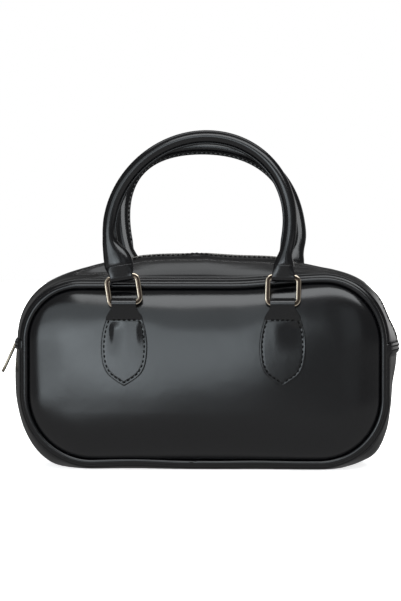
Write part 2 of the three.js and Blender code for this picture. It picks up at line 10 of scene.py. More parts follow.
import bmesh
import bpy
from bpy.props import FloatProperty, FloatVectorProperty, PointerProperty
from mathutils import Matrix, Quaternion, Vector, noise
from mathutils.geometry import interpolate_bezier


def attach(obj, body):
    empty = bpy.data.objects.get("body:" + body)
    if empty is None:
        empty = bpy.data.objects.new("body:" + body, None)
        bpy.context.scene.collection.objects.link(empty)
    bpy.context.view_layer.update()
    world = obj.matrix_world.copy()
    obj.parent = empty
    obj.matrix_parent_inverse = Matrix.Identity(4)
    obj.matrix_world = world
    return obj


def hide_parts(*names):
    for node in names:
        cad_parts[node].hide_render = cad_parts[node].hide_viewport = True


bl_info = {
    "name": "Handbag",
    "version": (1, 0, 0),
    "blender": (4, 5, 0),
    "location": "3D View > Sidebar > Handbag",
    "description": "Builds a piped handbag with rolled handles over its packed solids",
    "category": "Object",
}

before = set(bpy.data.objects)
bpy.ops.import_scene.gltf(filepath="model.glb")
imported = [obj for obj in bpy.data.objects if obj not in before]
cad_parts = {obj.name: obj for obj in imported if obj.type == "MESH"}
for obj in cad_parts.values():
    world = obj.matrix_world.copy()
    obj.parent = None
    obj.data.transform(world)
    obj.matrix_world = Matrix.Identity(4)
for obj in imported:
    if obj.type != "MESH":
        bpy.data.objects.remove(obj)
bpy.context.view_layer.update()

MM = 0.001

# Body sizes, as in the part's solids
PANEL_WIDTH = 282 * MM
PANEL_HEIGHT = 139 * MM
HALF_DEPTH = 52 * MM
PANEL_MIDDLE = 76 * MM
WALL = 2 * MM
GAP = 0.3 * MM
PIPING_RADIUS = 2.5 * MM
PANEL_INSET = PIPING_RADIUS + GAP
CROWN_HEIGHT = 7.5 * MM
CROWN_REACH = 34 * MM
CROWN_REACH_LOW = 24 * MM
CROWN_REACH_TAB = 24 * MM
TAB_FLATTENING = 42 * MM
CROWN_HIGH = 86 * MM
CROWN_LOW = 26 * MM
BELLY_HEIGHT = 8 * MM
BELLY_MIDDLE = 47 * MM
RISE_HEIGHT = 5 * MM
RISE_FROM = 20 * MM
RISE_TO = 95 * MM

# The corners of the piping's line, anticlockwise from the middle of the base
Corner = namedtuple("Corner", "across up radius first")
CORNERS = (
    Corner(1, -1, 51 * MM, -90),
    Corner(1, 1, 47 * MM, 0),
    Corner(-1, 1, 43 * MM, 90),
    Corner(-1, -1, 54 * MM, 180),
)

# Low rises of the base line on both sides of the piping's join
BaseRise = namedtuple("BaseRise", "height middle reach")
BASE_RISES = (
    BaseRise(1.3 * MM, -57 * MM, 45 * MM),
    BaseRise(0.5 * MM, 42 * MM, 35 * MM),
)
BASE_FROM = 40 * MM
BASE_FADE = 25 * MM

# How far the middle of the gusset stands out, in millimetres, from the middle of the base, 0, to
# that of the top, 1
Bulge = namedtuple("Bulge", "along left right")
BULGE = (
    Bulge(0, 12, 12),
    Bulge(0.24, 12, 12),
    Bulge(0.28, 12.4, 10.4),
    Bulge(0.31, 15, 12),
    Bulge(0.34, 15, 13.8),
    Bulge(0.38, 13.1, 10.2),
    Bulge(0.42, 11.6, 7),
    Bulge(0.47, 12.4, 7.5),
    Bulge(0.52, 12.4, 10.6),
    Bulge(0.56, 11.3, 10.7),
    Bulge(0.6, 10.7, 6.7),
    Bulge(0.65, 10, 7.5),
    Bulge(0.72, 9.7, 6),
    Bulge(0.75, 11.5, 7.5),
    Bulge(0.8, 16.5, 13),
    Bulge(0.87, 22.4, 20),
    Bulge(1, 24, 24),
)

# Half of the gusset's section, from the piping to mid depth, in millimetres
Profile = namedtuple("Profile", "setback shoulder dome")
GUSSET_PROFILE = (
    Profile(2.9, -1.5, 0),
    Profile(3.6, 2.2, 0),
    Profile(5.5, 4.6, 0),
    Profile(8, 4.8, 0.05),
    Profile(10.2, 3.9, 0.12),
    Profile(13, 4.3, 0.22),
    Profile(20, 4.2, 0.48),
    Profile(30, 4.2, 0.78),
    Profile(41, 4.2, 0.955),
    Profile(52, 4.2, 1),
)
SHOULDER_LEVEL = 4.2
END_DIP_DEPTH = 6.4
END_DIP_UP = 45 * MM
END_DIP_DOWN = 25 * MM
END_DIP_SHARPNESS = 12
ROLL_RISE_RIGHT = 0.6
ROLL_RISE_CORNER = 1.2
ROLL_RISE_SHOULDER = 2.6
ROLL_SETBACK = 33
ROLL_REACH = 15
ROLL_SHOULDER_X = -118 * MM
ROLL_SHOULDER_FADE = 30 * MM
ZIP_SINK = 2.8
SINK_RIGHT_FROM = 0.035
SINK_RIGHT_FADE = 0.03
SINK_LEFT_FADE = 0.04
SINK_X = 55 * MM
SINK_X_FADE = 25 * MM
HEM_LENGTH = 8 * MM
HEM_RISE = 1.5 * MM

# Zip
ZIP_EDGE = 47 * MM
TAPE_REACH = 8 * MM
TAPE_SINK = 2.7 * MM
TOOTH = Vector((1.9, 3.6, 1.9)) * MM
TOOTH_RISE = 0.9 * MM
TOOTH_OFFSET = 1.1 * MM
SLIDER_ANGLE = 7  # degrees
SLIDER_LENGTH = 11 * MM
SLIDER_WIDTH = 8.5 * MM
SLIDER_TAIL = 6.5 * MM
SLIDER_THICKNESS = 1.8 * MM
SLIDER_LEVEL = 0.3 * MM
SLIDER_EDGE = 0.5 * MM
SLIDER_NOSE = 0.67
BRIDGE_WIDTH = 7.92 * MM
BRIDGE_HEIGHT = 4 * MM
BRIDGE_RISE = 0.5 * MM
BRIDGE_STEPS = 48
EYE_WIDTH = 5 * MM
EYE_LENGTH = 5.6 * MM
EYE_CORNER = 1.6 * MM
EYE_WIRE = 0.7 * MM
EYE_STEPS = 40
EYE_SIDES = 10
PULL_PIVOT = Vector((-149.231, 0, 107.078)) * MM
PULL_LENGTH = 36 * MM
PULL_WIDTH = 7 * MM
PULL_THICKNESS = 2.2 * MM
PULL_HANG = 25  # degrees
PULL_EDGE = 0.45 * MM
PULL_SHOULDER = 1.2 * MM
PULL_NECK = 0.3 * MM
PULL_NECK_SHARE = 0.6
PULL_END_STEPS = 10

# Rings, tabs and handles
TAB_X = 62 * MM
RING_BAR_HEIGHT = 132 * MM
RING_WIRE = 1.6 * MM
RING_FACE = 2.0 * MM
RING_SQUARENESS = 0.5
RING_TURN = {"front": 5, "back": 0}  # degrees
RING_STEPS = 120
RING_SIDES = 24
RING_WIDTH = 24.2 * MM
RING_RISE = 21 * MM
RING_CORNER = 4 * MM
HINGE_OUT = 65.906 * MM
TAB_THICKNESS = 1.0 * MM
TAB_SEAM_DROP = 12.8 * MM
TAB_ROW_DROP = 0.3 * MM
TAB_TIP_DROP = 64.5 * MM
TAB_LOOP_RADIUS = 4.6 * MM
TAB_LOOP_HALF_WIDTH = 9.6 * MM
TAB_WRAP = 205  # degrees round the ring's bar
TAB_BEHIND = 9 * MM
TAB_BEHIND_SLOPE = 0.05
DENT_LEAD = 3 * MM
DENT_ONSET = 11 * MM
DENT_END = 44 * MM
DENT_FADE = 26 * MM
DENT_EDGE = 1.5 * MM
HANDLE_LOOP_RADIUS = 3.7 * MM
HANDLE_LOOP_HALF_WIDTH = 8.9 * MM
HANDLE_LOOP_RISE = 9 * MM
STRAP_TOP_DEPTH = 5.2 * MM
STRAP_TUCK = 0.94
STRAP_CORNER_BEND = 0.5
STRAP_CORNER_POWER = 3
HANDLE_FOOT = 2.8 * MM
ARCH_SPREAD = 71 * MM
ARCH_SPRING = 60 * MM
ARCH_TOP = 131 * MM
LEG_REACH = 18 * MM

# Half width of a tab by the drop below the ring's bar, in millimetres
TabRow = namedtuple("TabRow", "drop half_width")
TAB_ROWS = (
    TabRow(7, 12.4),
    TabRow(11, 13.8),
    TabRow(20, 16.6),
    TabRow(30, 18.1),
    TabRow(36, 18.2),
    TabRow(44, 17.5),
    TabRow(50, 16),
    TabRow(56, 12.4),
    TabRow(61, 6),
    TabRow(64.5, 0.3),
)

# Dents beside the strap's end under each tab, with the reach of their left and
# right slopes, in millimetres
TabDent = namedtuple("TabDent", "aside left_reach right_reach depth")
TAB_DENTS = {
    "left": (TabDent(-7, 6, 9, 0.8), TabDent(15.5, 7, 2.5, 0.8)),
    "right": (TabDent(15, 22, 3, 1.1),),
}

# Section of a handle by the distance from its foot, in millimetres
HandleSection = namedtuple("HandleSection", "from_foot half_width half_depth")
HANDLE_SECTIONS = (
    HandleSection(0, 9.4, 2.2),
    HandleSection(4, 10.8, 4.1),
    HandleSection(7, 11.3, 4.9),
    HandleSection(10, 11, 5.1),
    HandleSection(14, 9.8, 5.1),
    HandleSection(18, 8.1, 5),
    HandleSection(22, 6.4, 5),
    HandleSection(28, 5, 5.1),
    HandleSection(40, 5.1, 5.3),
)

# Lean is in degrees towards the middle of the bag. Shift moves the legs, skew
# the top, and splay spreads the legs. Roundness is the control length of the
# arch's quarters. Girth widens the roll. Each foot stands on a ring, which
# slides a little in its tab's loop and tilts, and flares by its own amount, up
# to its own height.
Foot = namedtuple("Foot", "ring_x tilt flare height")
HandleShape = namedtuple("HandleShape", "lean shift skew splay roundness girth left right")
HANDLES = {
    "front": HandleShape(
        lean=5,
        shift=-3.1 * MM,
        skew=5.2 * MM,
        splay=0,
        roundness=0.5523,
        girth=1,
        left=Foot(1.2 * MM - TAB_X, -9, 1, 1.12),
        right=Foot(TAB_X, 1.5, 0.5, 0.65),
    ),
    "back": HandleShape(
        lean=-18,
        shift=-0.8 * MM,
        skew=-8.2 * MM,
        splay=1.9 * MM,
        roundness=0.65,
        girth=1.12,
        left=Foot(-TAB_X, -9, 0.5, 0.7),
        right=Foot(TAB_X, 8, 0.8, 0.8),
    ),
}
SIDES = ("front", "back")
HANDS = {"left": -1, "right": 1}

# Camera, fitted to the photograph's 401 by 601 frame, with angles in degrees
CAMERA_TARGET = Vector((-5.2, 0, 132.2)) * MM
CAMERA_DISTANCE = 2.6
CAMERA_AZIMUTH = 2.7
CAMERA_ELEVATION = 2.0
CAMERA_FOCAL_PIXELS = 3246
PHOTO_HEIGHT_PIXELS = 601


def linear(hex_colour):
    """An sRGB hex colour as linear red, green and blue."""
    parts = [int(hex_colour[i : i + 2], 16) / 255 for i in (1, 3, 5)]
    return [p / 12.92 if p <= 0.04045 else ((p + 0.055) / 1.055) ** 2.4 for p in parts]


def length_property(name, description, length):
    """A length that the sidebar shows in the scene's units."""
    return FloatProperty(name=name, description=description, default=length, unit="LENGTH")


def colour_property(name, description, hex_colour):
    """A colour that the sidebar shows as a swatch."""
    colour = linear(hex_colour)
    return FloatVectorProperty(name=name, description=description, subtype="COLOR", default=colour)


class HandbagSizes(bpy.types.PropertyGroup):
    """Sizes of the trim that can change without leaving the solids."""

    stitch_pitch: length_property("Stitch pitch", "From one stitch to the next", 3.85 * MM)
    stitch_length: length_property("Stitch length", "Length of thread that shows", 2.9 * MM)
    stitch_width: length_property("Stitch width", "Thickness of the thread", 1.3 * MM)
    stitch_inset: length_property("Stitch inset", "From a tab's edge to its stitches", 2.4 * MM)
    tooth_pitch: length_property("Tooth pitch", "Between the teeth on one side of the zip", 2.9 * MM)
    wrinkle_depth: length_property("Wrinkle depth", "Depth of the folds along the gusset", 0.55 * MM)
    wave_depth: length_property("Wave depth", "Unevenness of the panels", 0.3 * MM)


class HandbagColours(bpy.types.PropertyGroup):
    """Colours of the bag's materials and of the floor."""

    leather: colour_property("Leather", "Coated leather", "#050506")
    thread: colour_property("Thread", "Sewing thread", "#040404")
    gold: colour_property("Gold", "Plating of the fittings", "#c4b8a6")
    # Painted dark reflection: the tone painted in the middle of the rings' flat faces, not a tone of the
    # metal itself.
    painted_dark_reflection: colour_property("Painted_reflection", "Dark tone in the middle of the fittings", "#40372f")
    aged: colour_property("Aged", "Worn plating of the slider and pull", "#6e675c")
    tape: colour_property("Tape", "Cloth of the zip", "#111112")
    teeth: colour_property("Teeth", "Metal of the zip's teeth", "#5a5855")
    floor: colour_property("Floor", "Floor of the studio", "#f8f8f8")


def smooth(share):
    """Eases from 0 to 1 as share does."""
    share = min(max(share, 0), 1)
    return share * share * (3 - 2 * share)


def hump(at, middle, reach):
    """1 at the middle, falling smoothly to 0 at the reach on either side."""
    return smooth(1 - abs(at - middle) / reach)


def curve(rows, column, at):
    """A smooth curve through one column of a table, against its first column."""
    last = len(rows) - 1
    if at <= rows[0][0]:
        return getattr(rows[0], column)
    if at >= rows[last][0]:
        return getattr(rows[last], column)
    i = max(k for k in range(last) if rows[k][0] <= at)

    def slope(k):
        before, after = rows[max(k - 1, 0)], rows[min(k + 1, last)]
        return (getattr(after, column) - getattr(before, column)) / (after[0] - before[0])

    span = rows[i + 1][0] - rows[i][0]
    t = (at - rows[i][0]) / span
    start, end = getattr(rows[i], column), getattr(rows[i + 1], column)
    return (
        start * (1 + 2 * t) * (1 - t) ** 2
        + slope(i) * span * t * (1 - t) ** 2
        + end * t * t * (3 - 2 * t)
        + slope(i + 1) * span * t * t * (t - 1)
    )


def direction(degrees):
    angle = math.radians(degrees)
    return Vector((math.cos(angle), math.sin(angle)))


def rim_pieces():
    """The straights and arcs of the piping's line: length, start or centre, first direction out, radius."""
    pieces = []
    here = Vector((0, -PANEL_HEIGHT / 2))
    for corner in CORNERS:
        across = corner.across * (PANEL_WIDTH / 2 - corner.radius)
        up = corner.up * (PANEL_HEIGHT / 2 - corner.radius)
        centre = Vector((across, up))
        arc_start = centre + corner.radius * direction(corner.first)
        pieces.append(((arc_start - here).length, here, corner.first, 0))
        pieces.append((corner.radius * math.pi / 2, centre, corner.first, corner.radius))
        here = centre + corner.radius * direction(corner.first + 90)
    pieces.append((abs(here.x), here, -90, 0))
    return pieces


RIM = rim_pieces()
RIM_LENGTH = sum(piece[0] for piece in RIM)
ZIP_RIGHT = sum(piece[0] for piece in RIM[:3]) / RIM_LENGTH
ZIP_LEFT = sum(piece[0] for piece in RIM[:6]) / RIM_LENGTH


def upper_stretch(x):
    """The upper half is stretched a little towards the right corner."""
    return 1 + RISE_HEIGHT * smooth((x - RISE_FROM) / (RISE_TO - RISE_FROM)) / (PANEL_HEIGHT / 2)


def rim(share):
    """A point of the piping's line and the direction out of it, as (x, z) from the panel's middle."""
    run = share % 1 * RIM_LENGTH
    for length, base, first, radius in RIM:
        if run <= length:
            break
        run -= length
    if radius:
        out = direction(first + math.degrees(run / radius))
        point = base + radius * out
    else:
        out = direction(first)
        point = base + run * direction(first + 90)
    if point.y > 0:
        point.y *= upper_stretch(point.x)
    else:
        point.y += base_wave(point.x) * smooth((-point.y - BASE_FROM) / BASE_FADE)
    return point, out


def base_wave(x):
    """The base line is not quite straight: it rises a little on both sides of the piping's join."""
    return sum(rise.height * hump(x, rise.middle, rise.reach) for rise in BASE_RISES)


def on_bag(share, setback, lift):
    """A point that stands out from the piping's line by lift and back from the front piping by setback."""
    point, out = rim(share)
    flat = point + out * lift
    return Vector((flat.x, setback - HALF_DEPTH, PANEL_MIDDLE + flat.y))


def sunken_zip(share, x):
    """Round the two top corners the strips roll up beside the zip, which lies lower between them."""
    from_right_end = smooth((share - ZIP_RIGHT - SINK_RIGHT_FROM) / SINK_RIGHT_FADE)
    to_left_end = smooth((ZIP_LEFT - share) / SINK_LEFT_FADE)
    return from_right_end * to_left_end * smooth((abs(x) - SINK_X) / SINK_X_FADE)


def gusset_lift(share, setback):
    """How far the gusset's face stands out from the piping's line."""
    point, _ = rim(share)
    along = 1 - abs(1 - 2 * (share % 1))
    from_seam = min(setback, 2 * HALF_DEPTH - setback) / MM
    bulge = curve(BULGE, "left" if point.x < 0 else "right", along)
    dome = curve(GUSSET_PROFILE, "dome", from_seam)
    shoulder = curve(GUSSET_PROFILE, "shoulder", from_seam)
    dip = 0
    if point.x < 0:
        above = point.y - (PANEL_HEIGHT / 2 - CORNERS[2].radius)
        dip = smooth(1 - abs(above) / (END_DIP_UP if above > 0 else END_DIP_DOWN))
    lift = shoulder + dome * (bulge - SHOULDER_LEVEL) - dip * END_DIP_DEPTH * dome**END_DIP_SHARPNESS
    sunk = sunken_zip(share % 1, point.x)
    rise = ROLL_RISE_RIGHT
    if point.x < 0:
        shoulder_share = smooth((point.x - ROLL_SHOULDER_X) / ROLL_SHOULDER_FADE)
        rise = ROLL_RISE_CORNER + ROLL_RISE_SHOULDER * shoulder_share
    lift += sunk * rise * hump(from_seam, ROLL_SETBACK, ROLL_REACH)
    lift -= sunk * ZIP_SINK * smooth((from_seam - ROLL_SETBACK) / (ZIP_EDGE / MM - ROLL_SETBACK))
    return lift * MM


def edge_distance(x, z):
    """Distance in from the panel's edge, which follows the piping."""
    up = z - PANEL_MIDDLE
    if up > 0:
        up /= upper_stretch(x)
    corner = next(c for c in CORNERS if c.across * x >= 0 and c.up * up >= 0)
    dx = abs(x) - PANEL_WIDTH / 2 + corner.radius
    dz = abs(up) - PANEL_HEIGHT / 2 + corner.radius
    outside = math.hypot(max(dx, 0), max(dz, 0))
    return corner.radius - PANEL_INSET - outside - min(max(dx, dz), 0)


def panel_crown(x, z):
    """How far the panel's face stands out from the plane of its piping."""
    by_tab = hump(abs(x), TAB_X, TAB_FLATTENING)
    reach_high = CROWN_REACH + (CROWN_REACH_TAB - CROWN_REACH) * by_tab
    low = smooth((CROWN_HIGH - z) / (CROWN_HIGH - CROWN_LOW))
    reach = reach_high + (CROWN_REACH_LOW - reach_high) * low
    reached = min(max(edge_distance(x, z) / reach, 0), 1)
    across = 1 - (x / (PANEL_WIDTH / 2)) ** 2
    edge = PANEL_MIDDLE + math.copysign(PANEL_HEIGHT / 2 * upper_stretch(x), z - BELLY_MIDDLE)
    up = 1 - ((z - BELLY_MIDDLE) / (edge - BELLY_MIDDLE)) ** 2
    return CROWN_HEIGHT * math.sqrt(1 - (1 - reached) ** 2) + BELLY_HEIGHT * across * up


def shaped_grid(columns, rows, place):
    """A grid of quads whose points are moved to place(u, v), with u and v from 0 to 1.

    Edges that meet are joined.
    """
    bm = bmesh.new()
    bm.loops.layers.uv.new("surface")
    bmesh.ops.create_grid(bm, x_segments=columns, y_segments=rows, size=0.5, calc_uvs=True)
    for vert in bm.verts:
        vert.co = place(vert.co.x + 0.5, vert.co.y + 0.5)
    bmesh.ops.remove_doubles(bm, verts=bm.verts, dist=1e-6)
    return bm


def squared(value, power):
    """A power that keeps the sign: under 1 it draws a share towards 1 or -1 and squares a circle."""
    return math.copysign(abs(value) ** power, value)


def tube(line, length_steps, sides, closed=False, power=1):
    """A skin round a line: line(u, v) gives a point and the two half axes of the section there."""

    def place(u, v):
        point, wide, deep = line(u, v)
        angle = 2 * math.pi * v
        return point + wide * squared(math.cos(angle), power) + deep * squared(math.sin(angle), power)

    bm = shaped_grid(length_steps, sides, place)
    if not closed:
        bmesh.ops.holes_fill(bm, edges=[edge for edge in bm.edges if edge.is_boundary])
    bmesh.ops.recalc_face_normals(bm, faces=bm.faces)
    return bm


def mirrored(bm, side):
    """The back is made as the front is, seen in a mirror."""
    if side == "back":
        bmesh.ops.scale(bm, vec=(1, -1, 1), verts=bm.verts)
        bmesh.ops.reverse_faces(bm, faces=bm.faces)
    return bm


def finished(name, bm, material, body="bag", replaced=(), wall=0):
    """Turns a bmesh into a smooth piece that rides on a body and stands for some nodes of the solids."""
    mesh = bpy.data.meshes.new(name)
    bm.to_mesh(mesh)
    bm.free()
    mesh.shade_smooth()
    mesh.materials.append(material)
    piece = bpy.data.objects.new(name, mesh)
    bpy.context.scene.collection.objects.link(piece)
    if wall:
        thick = piece.modifiers.new("Wall", "SOLIDIFY")
        thick.thickness = wall
        thick.offset = -1
    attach(piece, body)
    if replaced:
        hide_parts(*replaced)
    return piece


STITCH_LIFT = 0.15 * MM


def walk(samples, pitch):
    """Steps of one pitch along a line of (point, normal) samples: place, way ahead and normal."""
    lengths = [(b[0] - a[0]).length for a, b in zip(samples, samples[1:])]
    count = max(round(sum(lengths) / pitch), 1)
    step = sum(lengths) / count
    run, i = 0, 0
    for k in range(count):
        wanted = (k + 0.5) * step
        while run + lengths[i] < wanted:
            run += lengths[i]
            i += 1
        share = (wanted - run) / lengths[i]
        ahead = (samples[i + 1][0] - samples[i][0]).normalized()
        place = samples[i][0].lerp(samples[i + 1][0], share)
        yield place, ahead, samples[i][1].lerp(samples[i + 1][1], share)


def sew(bm, samples, sizes):
    """Adds a row of stitches along a line of (point, normal) samples."""
    for point, ahead, normal in walk(samples, sizes.stitch_pitch):
        across = normal.cross(ahead).normalized()
        up = ahead.cross(across)
        turn = Matrix((ahead, across, up)).transposed().to_4x4()
        half = (sizes.stitch_length / 2, sizes.stitch_width / 2, sizes.stitch_width / 2)
        matrix = Matrix.Translation(point + up * STITCH_LIFT) @ turn @ Matrix.Diagonal((*half, 1))
        bmesh.ops.create_uvsphere(bm, u_segments=6, v_segments=5, radius=1, matrix=matrix)


def add_node(tree, kind, inputs=None, **settings):
    """Adds a node with its settings, and sets its inputs or links them to other sockets."""
    made = tree.nodes.new(kind)
    for name, value in settings.items():
        setattr(made, name, value)
    for name, value in (inputs or {}).items():
        if isinstance(value, bpy.types.NodeSocket):
            tree.links.new(value, made.inputs[name])
        else:
            made.inputs[name].default_value = value
    return made


def new_material(name):
    """A new material and its empty tree."""
    material = bpy.data.materials.new(name)
    material.use_nodes = True
    tree = material.node_tree
    tree.nodes.clear()
    return material, tree


def close_material(tree, inputs):
    """Ends a tree with the shader that has these inputs."""
    shader = add_node(tree, "ShaderNodeBsdfPrincipled", inputs)
    add_node(tree, "ShaderNodeOutputMaterial", {"Surface": shader.outputs["BSDF"]})


def object_noise(tree, size, detail=2.0):
    """Cloudy noise from 0 to 1, with features of about that size."""
    place = add_node(tree, "ShaderNodeTexCoord").outputs["Object"]
    inputs = {"Vector": place, "Scale": 1 / size, "Detail": detail}
    return add_node(tree, "ShaderNodeTexNoise", inputs).outputs["Fac"]


def spread(tree, value, low, high):
    """Spreads a value from 0 to 1 between two others."""
    inputs = {"Value": value, "To Min": low, "To Max": high}
    return add_node(tree, "ShaderNodeMapRange", inputs).outputs["Result"]


def raised(tree, height, strength, distance, under=None):
    """A normal bent by a height, over another normal if there is one."""
    inputs = {"Height": height, "Strength": strength, "Distance": distance}
    if under is not None:
        inputs["Normal"] = under
    return add_node(tree, "ShaderNodeBump", inputs).outputs["Normal"]


GRAIN_SIZE = 1.4 * MM  # real grain is near 0.4 mm, drawn coarser so that it shows
PEEL_SIZE = 14 * MM
SHEEN_SIZE = 30 * MM
TWILL_SIZE = 0.9 * MM
TWIST_SIZE = 0.5 * MM
PATINA_SIZE = 3 * MM
RUB_SIZE = 2 * MM
WIRE_FACE = 0.75  # share of the way round a wire's section where its face is


def coated_leather(colours):
    """Split leather with a smooth glossy coat: blurred, with faint grain and orange peel."""
    material, tree = new_material("Coated leather")
    place = add_node(tree, "ShaderNodeTexCoord").outputs["Object"]
    cells = {"Vector": place, "Scale": 1 / GRAIN_SIZE, "Smoothness": 0.6}
    grain = add_node(tree, "ShaderNodeTexVoronoi", cells, feature="SMOOTH_F1").outputs["Distance"]
    fine = raised(tree, grain, 0.03, 0.2 * MM)
    close_material(
        tree,
        {
            "Base Color": (*colours.leather, 1),
            "Roughness": spread(tree, object_noise(tree, SHEEN_SIZE, 3.0), 0.15, 0.2),
            "IOR": 1.34,
            "Normal": raised(tree, object_noise(tree, PEEL_SIZE), 0.1, 0.6 * MM, fine),
        },
    )
    return material


def sewing_thread(colours):
    """Bonded nylon thread: dull, with its twist as a fine unevenness."""
    material, tree = new_material("Bonded nylon thread")
    close_material(
        tree,
        {
            "Base Color": (*colours.thread, 1),
            "Roughness": 0.7,
            "Specular IOR Level": 0.12,
            "Normal": raised(tree, object_noise(tree, TWIST_SIZE), 0.4, 0.1 * MM),
        },
    )
    return material


def plated_zinc(colours):
    """Die-cast zinc with a polished pale gold plating, with a painted dark reflection in the middle of the
    flat faces.
    """
    material, tree = new_material("Pale gold plated zinc")
    surface = add_node(tree, "ShaderNodeUVMap", uv_map="surface").outputs["UV"]
    around = add_node(tree, "ShaderNodeSeparateXYZ", {"Vector": surface}).outputs["Y"]
    offset = {0: around, 1: WIRE_FACE}
    from_face = add_node(tree, "ShaderNodeMath", offset, operation="SUBTRACT").outputs["Value"]
    from_face = add_node(tree, "ShaderNodeMath", {0: from_face}, operation="ABSOLUTE").outputs["Value"]
    # The middle of each flat face is painted dark as a painted reflection, and the edges keep the plain
    # gold.
    painted_reflection_mask = {"Value": from_face, "From Min": 0.05, "From Max": 0.1}
    painted_reflection_mask = add_node(tree, "ShaderNodeMapRange", painted_reflection_mask).outputs["Result"]
    tones = {0: painted_reflection_mask, 6: (*colours.painted_dark_reflection, 1), 7: (*colours.gold, 1)}  # the factor and the two colours
    colour = add_node(tree, "ShaderNodeMix", tones, data_type="RGBA")
    rough = spread(tree, object_noise(tree, PATINA_SIZE, 3.0), 0.1, 0.18)
    close_material(tree, {"Base Color": colour.outputs[2], "Metallic": 1.0, "Roughness": rough})
    return material


def aged_zinc(colours):
    """The same plating after more handling: darker and less polished."""
    material, tree = new_material("Aged gold plated zinc")
    close_material(tree, {"Base Color": (*colours.aged, 1), "Metallic": 1.0, "Roughness": 0.28})
    return material


def woven_tape(colours):
    """Polyester zip tape: a matt twill with slanting ribs."""
    material, tree = new_material("Woven polyester tape")
    place = add_node(tree, "ShaderNodeTexCoord").outputs["Object"]
    bands = {"Vector": place, "Scale": 0.5 / TWILL_SIZE, "Distortion": 0.5}
    ribs = add_node(tree, "ShaderNodeTexWave", bands, bands_direction="DIAGONAL").outputs["Fac"]
    close_material(
        tree,
        {
            "Base Color": (*colours.tape, 1),
            "Roughness": 0.85,
            "Sheen Weight": 0.2,
            "Normal": raised(tree, ribs, 0.5, 0.15 * MM),
        },
    )
    return material


def dark_nickel(colours):
    """Pressed brass teeth with a dark nickel finish, unevenly polished."""
    material, tree = new_material("Dark nickel plated brass")
    rough = spread(tree, object_noise(tree, RUB_SIZE), 0.25, 0.45)
    close_material(tree, {"Base Color": (*colours.teeth, 1), "Metallic": 1.0, "Roughness": rough})
    return material


def studio_floor(colours):
    """Matt white sweep that glows, so that it takes almost no shadow."""
    material, tree = new_material("Matt studio floor")
    close_material(
        tree,
        {
            "Base Color": (*colours.floor, 1),
            "Roughness": 0.9,
            "Specular IOR Level": 0.1,
            "Emission Color": (*colours.floor, 1),
            "Emission Strength": 0.85,
        },
    )
    return material


MAKERS = {
    "Coated leather": coated_leather,
    "Bonded nylon thread": sewing_thread,
    "Pale gold plated zinc": plated_zinc,
    "Aged gold plated zinc": aged_zinc,
    "Woven polyester tape": woven_tape,
    "Dark nickel plated brass": dark_nickel,
    "Matt studio floor": studio_floor,
}


def material_of(name):
    """The material of that name, made when it is first asked for."""
    return bpy.data.materials.get(name) or MAKERS[name](bpy.context.scene.handbag_colours)


# Panels
PANEL_STEPS = 84
MARGIN = 36 * MM
TUCK = 1.2 * MM
TUCK_SLOPE = 1.6
MARGIN_SHARE = 0.5
WAVE_SIZE = 55 * MM
WAVE_FADE = 20 * MM
MARGIN_SPACING = 1.8


def way_round(a, b):
    """Share of the way round a square, anticlockwise from the middle of its lower edge."""
    m = max(abs(a), abs(b), 1e-9)
    if abs(b) >= abs(a):
        return (a / m) / 8 if b < 0 else 1 / 2 - (a / m) / 8
    return 1 / 4 + (b / m) / 8 if a > 0 else 3 / 4 - (b / m) / 8


def panel_relief(x, z, sizes, phase):
    """A slight unevenness all over, less at the edge."""
    away = smooth(edge_distance(x, z) / WAVE_FADE)
    return away * sizes.wave_depth * noise.noise(Vector((x, phase, z)) / WAVE_SIZE)


def panel_place(sizes, phase):
    """The rings near the edge keep their distance from it, and the inner ones shrink to the middle.

    The edge itself is tucked in behind the piping.
    """

    def place(u, v):
        a, b = 2 * u - 1, 2 * v - 1
        m = max(abs(a), abs(b))
        point, out = rim(way_round(a, b))
        if 1 - m < MARGIN_SHARE:
            inset = (MARGIN + TUCK) * ((1 - m) / MARGIN_SHARE) ** MARGIN_SPACING - TUCK
            flat = point - out * (PANEL_INSET + inset)
        else:
            inset = MARGIN
            flat = (point - out * (PANEL_INSET + MARGIN)) * (m / (1 - MARGIN_SHARE))
        x, z = flat.x, PANEL_MIDDLE + flat.y
        crown = panel_crown(x, z) + panel_relief(x, z, sizes, phase) + TUCK_SLOPE * min(inset, 0)
        return Vector((x, -HALF_DEPTH - crown, z))

    return place


class HANDBAG_OT_panels(bpy.types.Operator):
    """Builds the two crowned faces of the bag"""

    bl_idname = "handbag.panels"
    bl_label = "Panels"

    def execute(self, context):
        sizes = context.scene.handbag_sizes
        leather = material_of("Coated leather")
        for phase, side in enumerate(SIDES):
            bm = shaped_grid(PANEL_STEPS, PANEL_STEPS, panel_place(sizes, float(phase)))
            mirrored(bm, side)
            finished(
                f"{side}_panel_leather", bm, leather, replaced=[f"{side}_panel"], wall=WALL
            )
        return {"FINISHED"}


# Piping
PIPING_STEPS = 460
PIPING_SIDES = 18
CRIMP_SIZE = 2.6 * MM
CRIMP_DEPTH = 0.1 * MM
CRIMP_WRAP = 3
CRIMP_ONSET = 5
JOIN_X = -8.7 * MM
JOIN_REACH = 0.9 * MM
JOIN_DEPTH = 0.9 * MM


def piping_line(u, v):
    """A covered cord, crimped where it goes round a corner, with a butt join under the bag."""
    point, out = rim(u)
    ahead = Vector((-out.y, out.x))
    at_corner = 1 - max(abs(out.x), abs(out.y))
    run = u * RIM_LENGTH
    angle = 2 * math.pi * v
    crimp = noise.noise(
        Vector((run / CRIMP_SIZE, CRIMP_WRAP * math.cos(angle), CRIMP_WRAP * math.sin(angle)))
    )
    radius = PIPING_RADIUS + CRIMP_DEPTH * crimp * smooth(CRIMP_ONSET * at_corner)
    if point.y < 0:
        radius -= JOIN_DEPTH * hump(point.x, JOIN_X, JOIN_REACH) * abs(ahead.x)
    middle = Vector((point.x, -HALF_DEPTH, PANEL_MIDDLE + point.y))
    return middle, Vector((out.x, 0, out.y)) * radius, Vector((0, radius, 0))


